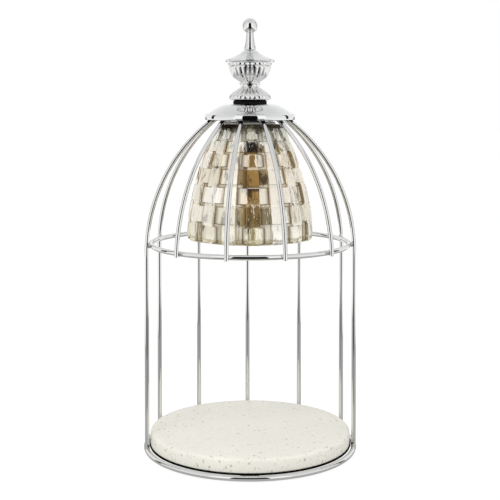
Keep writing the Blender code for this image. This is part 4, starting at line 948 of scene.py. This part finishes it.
canopy = turned("canopy_dome", canopy_profile(), 192, angle=50)
cutter = turned("inlet_cutter", [(0, 4 * MM), (4.3 * MM, 4 * MM), (4.3 * MM, -4 * MM), (0, -4 * MM)], 40,
                closed=False)
cutter.data.transform(INLET)
opening = canopy.modifiers.new("inlet", "BOOLEAN")
opening.object = cutter
opening.solver = "EXACT"
canopy.data = plain_mesh(canopy)
bpy.data.objects.remove(cutter)
smoothed(canopy.data, 50)
dress(canopy, SPUN_CHROME, "cage", "chrome", "canopy")

# Its inner side, its downward faces and its lowest edge are painted black: painted shade under the canopy
SHADE_FROM = 30 * MM
canopy.data.materials.append(SHADE_BLACK)
for face in canopy.data.polygons:
    outward = face.normal.x * face.center.x + face.normal.y * face.center.y
    inside = outward < 0 and hypot(face.center.x, face.center.y) > SHADE_FROM
    if face.normal.z < -0.2 or inside or face.center.z < CANOPY_RIM + 0.3 * MM:
        face.material_index = 1

# %% Grommet in the slope
grommet_profile = eased(below(0, (5.6, -2.0, 0.9), (5.6, -0.25), (4.0, -0.2), (4.0, 2.2), (5.0, 2.2),
                              (5.0, 3.4, 0.5), (2.9, 3.4, 0.4), (2.9, -2.0, 0.7)), 0.2 * MM)
grommet = turned("cable_grommet", grommet_profile, 64, angle=60)
grommet.data.transform(INLET)
dress(grommet, RUBBER, "cage", "black_rubber", "cable_bushing")

# %% [markdown]
# ## Finial
# The finial is an urn cast in four pieces and drawn together by a stud: a gadrooned foot, a
# fluted bowl, a flared lid and a spindle with a ball. Twenty-two lobes go round the foot and the
# bowl. A turned blank carries how deep the flutes are at each corner, and a tree presses them.

# %% Tree: lobes pressed into a turned blank
LOBES = 22


def lobe_tree():
    tree = Tree("pressed_lobes", Lobes=float(LOBES), Depth=1.0 * MM, Finish=None)
    m = tree.math
    place = tree.add("ShaderNodeSeparateXYZ", {0: tree.add("GeometryNodeInputPosition")}).outputs
    angle = m("ARCTAN2", place["Y"], place["X"])
    wave = m("ABSOLUTE", m("SINE", m("MULTIPLY", angle, m("MULTIPLY", tree.value("Lobes"), 0.5))))
    push = m("MULTIPLY", m("MULTIPLY", m("SUBTRACT", wave, 1.0), tree.value("Depth")), tree.stored("pressed"))
    return tree.close(tree.pushed(push))


def lobed(name, profile, press, depth):
    """Turns a profile and presses the lobes; press gives the share of the depth at (radius, height)."""
    blank = turned(name, profile, LOBES * 14, angle=180)
    carry(blank, pressed=[press(hypot(v.co.x, v.co.y), v.co.z) for v in blank.data.vertices])
    return grown(name, lobe_tree(), blank, CAST_CHROME, 50, Depth=depth)


def hump(value, low, high, power=0.6):
    """0 at both ends of a span and 1 in its middle."""
    share = (value - low) / (high - low)
    return sin(pi * share) ** power if 0 < share < 1 else 0.0


# %% Foot of the urn
STUD_HOLE = 2.3 * MM
FOOT_BOTTOM, FOOT_TOP = ends("finial_foot")
foot_line = flowing(below(FOOT_TOP, (7.2, 0), (7.9, 1.1), (9.6, 2.3), (12.6, 4.3), (15.3, 6.4), (16.6, 8.6),
                          (16.2, 10.4)) + below(FOOT_BOTTOM, (14.6, -0.9), (12.6, 0)), 5)
foot_inside = [(NIPPLE_HOLE, FOOT_BOTTOM), (NIPPLE_HOLE, FOOT_BOTTOM + 8.3 * MM),
               (STUD_HOLE, FOOT_BOTTOM + 8.3 * MM), (STUD_HOLE, FOOT_TOP)]
foot = lobed("urn_foot", foot_line + foot_inside,
             lambda r, z: hump(z, FOOT_BOTTOM, FOOT_TOP - 1.6 * MM, 0.5) if r > 8.5 * MM else 0.0, 0.80 * MM)
dress(foot, CAST_CHROME, "finial", "chrome", "finial_foot")

# %% Bowl of the urn
BOWL_BOTTOM, BOWL_TOP = ends("finial_bowl")
NOTCH = BOWL_TOP - 2.3 * MM
bowl_line = flowing(below(BOWL_TOP, (17.5, 0.1), (17.5, 1.0), (17.2, 1.8), (16.2, 2.3), (16.8, 2.9), (16.6, 4.0),
                          (16.1, 5.4), (14.9, 8.6), (13.1, 11.4), (9.9, 13.9), (8.0, 15.0), (8.3, 15.9))
                    + [(7.4 * MM, BOWL_BOTTOM)], 5)
bowl = lobed("urn_bowl", bowl_line + [(STUD_HOLE, BOWL_BOTTOM), (STUD_HOLE, BOWL_TOP - 0.1 * MM)],
             lambda r, z: max(hump(z, BOWL_BOTTOM + 1.6 * MM, NOTCH, 0.35),
                              hump(z, NOTCH, BOWL_TOP + 0.4 * MM, 0.5)) if r > 8.3 * MM else 0.0, 0.82 * MM)
dress(bowl, CAST_CHROME, "finial", "chrome", "finial_bowl")

# %% Lid of the urn
LID_BOTTOM, LID_TOP = ends("finial_lid")
lid_line = flowing(below(LID_TOP, (5.5, 0), (6.4, 0.9), (9.1, 2.9), (12.6, 4.6), (16.2, 5.95), (19.0, 7.0),
                         (19.5, 7.7), (19.2, 8.5)), 6)
lid_inside = [(18.4 * MM, LID_BOTTOM + 0.1 * MM), (17.6 * MM, LID_BOTTOM), (STUD_HOLE, LID_BOTTOM),
              (STUD_HOLE, LID_TOP)]
dress(turned("urn_lid", lid_line + lid_inside, 144, angle=60), CAST_CHROME, "finial", "chrome", "finial_lid")

# %% Spindle and ball
SPINDLE_BOTTOM, SPINDLE_TOP = ends("finial_spindle")
BALL_RADIUS = 6.1 * MM
NECK = 3.0 * MM
neck_angle = atan2(NECK, (BALL_RADIUS ** 2 - NECK ** 2) ** 0.5)
ball_line = [(BALL_RADIUS * sin(a), SPINDLE_TOP - BALL_RADIUS + BALL_RADIUS * cos(a))
             for a in np.linspace(0, pi - neck_angle, 30)]
shaft_line = flowing(below(SPINDLE_BOTTOM, (3.0, -13.6), (3.35, -9.0), (4.2, -4.2), (4.9, -1.9), (4.6, -0.7),
                           (3.8, 0)), 6)
spindle_inside = [(STUD_HOLE, SPINDLE_BOTTOM), (STUD_HOLE, SPINDLE_BOTTOM + 9.1 * MM), (0, SPINDLE_BOTTOM + 9.1 * MM)]
spindle = turned("urn_spindle", ball_line + shaft_line + spindle_inside, 96, closed=False, angle=60)
dress(spindle, CAST_CHROME, "finial", "chrome", "finial_spindle")

# %% Gasket under the finial
GASKET_RADIUS = 13.3 * MM
GASKET_BOTTOM, GASKET_TOP = ends("finial_gasket")
upper, lower = GASKET_TOP + 0.25 * MM, GASKET_BOTTOM - 0.1 * MM
gasket = turned("finial_gasket_ring", eased([(GASKET_RADIUS, upper, 0.4 * MM), (GASKET_RADIUS, lower, 0.4 * MM),
                                             (NIPPLE_HOLE, lower), (NIPPLE_HOLE, upper)], 0.2 * MM), 96, angle=60)
dress(gasket, RUBBER, "gasket", "black_rubber", "finial_gasket")

# %% [markdown]
# ## Base
# A honed disc of speckled stone sits on a ring of black felt over a zinc plated cross, which is
# welded into the base ring. One screw from below holds it, and rubber feet stand under the arms.

# %% Stone disc
STONE_RADIUS = 79.0 * MM
SOCKET_RADIUS, SOCKET_DEPTH = 4.3 * MM, 7.3 * MM
STONE_BOTTOM, STONE_TOP = ends("stone_disc")
stone_profile = eased([(0, STONE_TOP, 0), (STONE_RADIUS, STONE_TOP, 3.0 * MM),
                       (STONE_RADIUS, STONE_BOTTOM, 0.9 * MM), (SOCKET_RADIUS, STONE_BOTTOM, 0.3 * MM),
                       (SOCKET_RADIUS, STONE_BOTTOM + SOCKET_DEPTH, 0), (0, STONE_BOTTOM + SOCKET_DEPTH, 0)], 0.0, 8)
stone = turned("stone_plinth", stone_profile, 240, closed=False, angle=60)
dress(stone, STONE, "cage", "speckled_stone", "stone_disc")

# %% Felt ring under the stone, widened to the stone's edge and black: painted shade in the gap round its foot
FELT_OUTER_AS_SHADE, FELT_INNER = 79.7 * MM, 52.0 * MM
PAD_BOTTOM, PAD_TOP = ends("stone_pad")
upper, lower = PAD_TOP + 0.2 * MM, PAD_BOTTOM - 0.2 * MM
felt_profile = eased([(FELT_OUTER_AS_SHADE, upper), (FELT_OUTER_AS_SHADE, lower), (FELT_INNER, lower), (FELT_INNER, upper)], 0.3 * MM)
dress(turned("felt_pad", felt_profile, 160, angle=70), FELT, "cage", "grey_foam", "stone_pad")

# %% [markdown]
# ## Holder, bulb and small hardware
# These pieces are stamped, turned or moulded, and the CAD has their shapes with sharp edges. A
# copy of each one gets a small bevel, because the narrow round along an edge is what shows that
# a piece is real metal or plastic. Grip ribs, screw thread and the filament repeat, so trees
# make them.

# %% Helper: a CAD piece with rounded edges
BODY_OF = {node: body for body, nodes in frame["record"]["behaviour"]["bodies"].items() for node in nodes}


def softened(name, node, finish, slot, width):
    """A copy of a CAD node, its faces joined up again and its edges rounded."""
    form = bmesh.new()
    form.from_mesh(frame["nodes"][node].data)
    bmesh.ops.remove_doubles(form, verts=form.verts, dist=0.001 * MM)
    bmesh.ops.dissolve_limit(form, angle_limit=radians(2), verts=form.verts, edges=form.edges)
    mesh = bpy.data.meshes.new(name)
    form.to_mesh(mesh)
    form.free()
    made = linked(name, mesh)
    rounding = made.modifiers.new("rounding", "BEVEL")
    rounding.width = width
    rounding.segments = 2
    rounding.limit_method = "ANGLE"
    rounding.angle_limit = radians(32)
    made.data = plain_mesh(made)
    made.data.name = name
    smoothed(made.data, 38)
    dress(made, finish, BODY_OF[node], slot, node)


# %% Round the edges of the small hardware; the bevel widths are in millimetres
# The crown plate and the seat washer are darkened to near black: painted shade under the canopy
BLACK_AS_SHADE, STEEL = (SHADE_BLACK, "zinc_plated_steel"), (ZINC, "zinc_plated_steel")
MOULDED, FIRED = (SLEEVE_PLASTIC, "white_sleeve"), (CERAMIC, "white_ceramic")
SPRUNG, SOFT = (BRASS, "brass"), (FOAM_AS_SHADE, "grey_foam")
for name, node, (finish, slot), width in (
        ("crown_spider_plate", "crown_plate", BLACK_AS_SHADE, 0.3),
        ("hex_nut_upper", "crown_nut_upper", STEEL, 0.3),
        ("hex_nut_lower", "crown_nut_lower", STEEL, 0.3),
        ("spacer_tube", "canopy_spacer", STEEL, 0.2),
        ("sleeve_lock_nut", "sleeve_nut", STEEL, 0.3),
        ("moulded_sleeve", "holder_sleeve", MOULDED, 0.4),
        ("ceramic_body", "holder_ceramic", FIRED, 0.3),
        ("ceramic_screw_front", "holder_screw_front", STEEL, 0.15),
        ("ceramic_screw_rear", "holder_screw_rear", STEEL, 0.15),
        ("contact_spring_left", "contact_left", SPRUNG, 0.08),
        ("contact_spring_right", "contact_right", SPRUNG, 0.08),
        ("crimp_barrel_left", "crimp_left", SPRUNG, 0.1),
        ("crimp_barrel_right", "crimp_right", SPRUNG, 0.1),
        ("bulb_ceramic_base", "bulb_base", FIRED, 0.3),
        ("locking_pin_left", "bulb_pin_left", STEEL, 0.15),
        ("locking_pin_right", "bulb_pin_right", STEEL, 0.15),
        ("threaded_insert", "stone_insert", SPRUNG, 0.15),
        ("welded_cross", "base_cross", STEEL, 0.3),
        ("pan_head_screw", "base_screw", STEEL, 0.2),
        ("seat_washer", "shade_washer", SOFT, 0.2),
        ("hand_ring", "shade_ring", MOULDED, 0.4)):
    softened(name, node, finish, slot, width * MM)


# %% Tree: ribs round a grip
def rib_tree():
    tree = Tree("grip_ribs", Count=32, Circle_Radius=15.0 * MM, Rib_Radius=0.5 * MM, Rib_Height=12.0 * MM,
                Rib_Bottom=0.0, Finish=None)
    ring = tree.add("GeometryNodeMeshCircle", {"Vertices": tree.value("Count"),
                                               "Radius": tree.value("Circle_Radius")})
    rib = tree.add("GeometryNodeMeshCylinder", {"Vertices": 10, "Radius": tree.value("Rib_Radius"),
                                                "Depth": tree.value("Rib_Height")})
    middle = tree.math("ADD", tree.value("Rib_Bottom"), tree.math("MULTIPLY", tree.value("Rib_Height"), 0.5))
    return tree.close(tree.spread(rib, tree.lifted(ring, middle)))


# %% Ribs on the ring that is turned by hand
RING_LOW, RING_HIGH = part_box("shade_ring")
ribs = grown("hand_ring_ribs", rib_tree(), points_object("hand_ring_ribs"), SLEEVE_PLASTIC, 40, Count=48,
             Circle_Radius=RING_HIGH.x - 0.35 * MM, Rib_Height=RING_HIGH.z - RING_LOW.z - 1.4 * MM,
             Rib_Bottom=RING_LOW.z + 0.7 * MM)
dress(ribs, SLEEVE_PLASTIC, "shade_ring", "white_sleeve")


# %% Tree: a screw thread, one ridge wound on what comes in
def thread_tree():
    tree = Tree("screw_thread", Turns=10.0, Winding_Radius=4.5 * MM, Ridge_Radius=0.45 * MM, Length=10.0 * MM,
                Bottom=0.0, Finish=None)
    line = tree.add("GeometryNodeCurveSpiral", {"Resolution": 24, "Rotations": tree.value("Turns"),
                                                "Start Radius": tree.value("Winding_Radius"),
                                                "End Radius": tree.value("Winding_Radius"),
                                                "Height": tree.value("Length")})
    section = tree.add("GeometryNodeCurvePrimitiveCircle", {"Resolution": 4, "Radius": tree.value("Ridge_Radius")})
    ridge = tree.add("GeometryNodeCurveToMesh", {"Curve": line, "Profile Curve": section, "Fill Caps": True})
    both = tree.add("GeometryNodeJoinGeometry")
    for part in (tree.start.outputs[0], tree.lifted(ridge, tree.value("Bottom"))):
        tree.graph.links.new(part, both.inputs[0])
    return tree.close(both)


def wound(name, core, finish, radius, ridge, length, turns, bottom, smooth_angle=40):
    return grown(name, thread_tree(), core, finish, smooth_angle, Turns=turns, Winding_Radius=radius,
                 Ridge_Radius=ridge, Length=length, Bottom=bottom)


# %% Thread on the nipple and on the stud
for name, node, body, pitch, bore in (("nipple_thread", "threaded_nipple", "cage", 1.0 * MM, 3.4 * MM),
                                      ("stud_thread", "finial_stud", "finial", 0.7 * MM, 0.0)):
    low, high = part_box(node)
    chamfer = 0.2 * MM
    rod_radius = high.x - pitch * 0.42
    profile = [(rod_radius - chamfer, high.z), (rod_radius, high.z - chamfer), (rod_radius, low.z + chamfer),
               (rod_radius - chamfer, low.z)]
    if bore:
        rod = turned(name, profile + [(bore, low.z), (bore, high.z)], 48)
    else:
        rod = turned(name, [(0, high.z)] + profile + [(0, low.z)], 32, closed=False)
    ridge = pitch * 0.40
    length = high.z - low.z - 2 * ridge - chamfer
    thread = wound(name, rod, ZINC, high.x - ridge, ridge, length, length / pitch, low.z + ridge + chamfer / 2)
    dress(thread, ZINC, body, "zinc_plated_steel", node)

# %% Thread of the sleeve, which the hand ring runs on
thread = wound("sleeve_thread", points_object("sleeve_thread"), SLEEVE_PLASTIC, 14.66 * MM, 0.36 * MM, 14.0 * MM,
               7.0, ends("holder_sleeve")[0] + 1.0 * MM)
dress(thread, SLEEVE_PLASTIC, "cage", "white_sleeve")


# %% Rubber feet: one turned foot, set at four places
FEET = [f"rubber_foot_{number}" for number in range(1, 5)]
foot_low, foot_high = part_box(FEET[0])
foot_radius, foot_rise = (foot_high.x - foot_low.x) / 2, foot_high.z - foot_low.z
foot_centres = [((low.x + high.x) / 2, (low.y + high.y) / 2, low.z) for low, high in map(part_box, FEET)]


def feet_tree(shape):
    tree = Tree("set_feet", Size=1.0, Finish=None)
    return tree.close(tree.spread(tree.shape_of(shape), Scale=tree.value("Size")))


foot_shape = eased([(0, foot_rise, 0), (foot_radius, foot_rise, 0.2 * MM), (foot_radius * 0.94, 0, 0.5 * MM),
                    (foot_radius * 0.55, 0, 0.2 * MM), (foot_radius * 0.45, 0.8 * MM, 0.3 * MM),
                    (0, 0.8 * MM, 0)], 0.0, 4)
single = turned("single_foot", foot_shape, 48, closed=False, angle=50)
feet = grown("rubber_feet", feet_tree(single), points_object("rubber_feet", foot_centres), RUBBER, 50)
bpy.data.objects.remove(single)
dress(feet, RUBBER, "cage", "black_rubber", *FEET)

# %% Filament of the bulb, a small coil inside the capsule
FILAMENT = make_plain("tungsten", (0.45, 0.43, 0.42), 0.35, 1.0, 900.0, 0.00002)
capsule_low, capsule_high = ends("bulb_capsule")
capsule_rise = capsule_high - capsule_low
coil = wound("filament", points_object("filament"), FILAMENT, 0.8 * MM, 0.14 * MM, capsule_rise * 0.35, 9.0,
             capsule_low + capsule_rise * 0.25, 60)
dress(coil, FILAMENT, "bulb", "zinc_plated_steel")

# %% The last CAD nodes keep their shapes and take a finish
for names, finish in ((("lead_left", "lead_right"), SILICONE), (("bulb_reflector",), REFLECTOR),
                      (("bulb_capsule", "bulb_lens"), GLASS)):
    for name in names:
        for place in frame["nodes"][name].material_slots:
            place.link = "OBJECT"
            place.material = finish
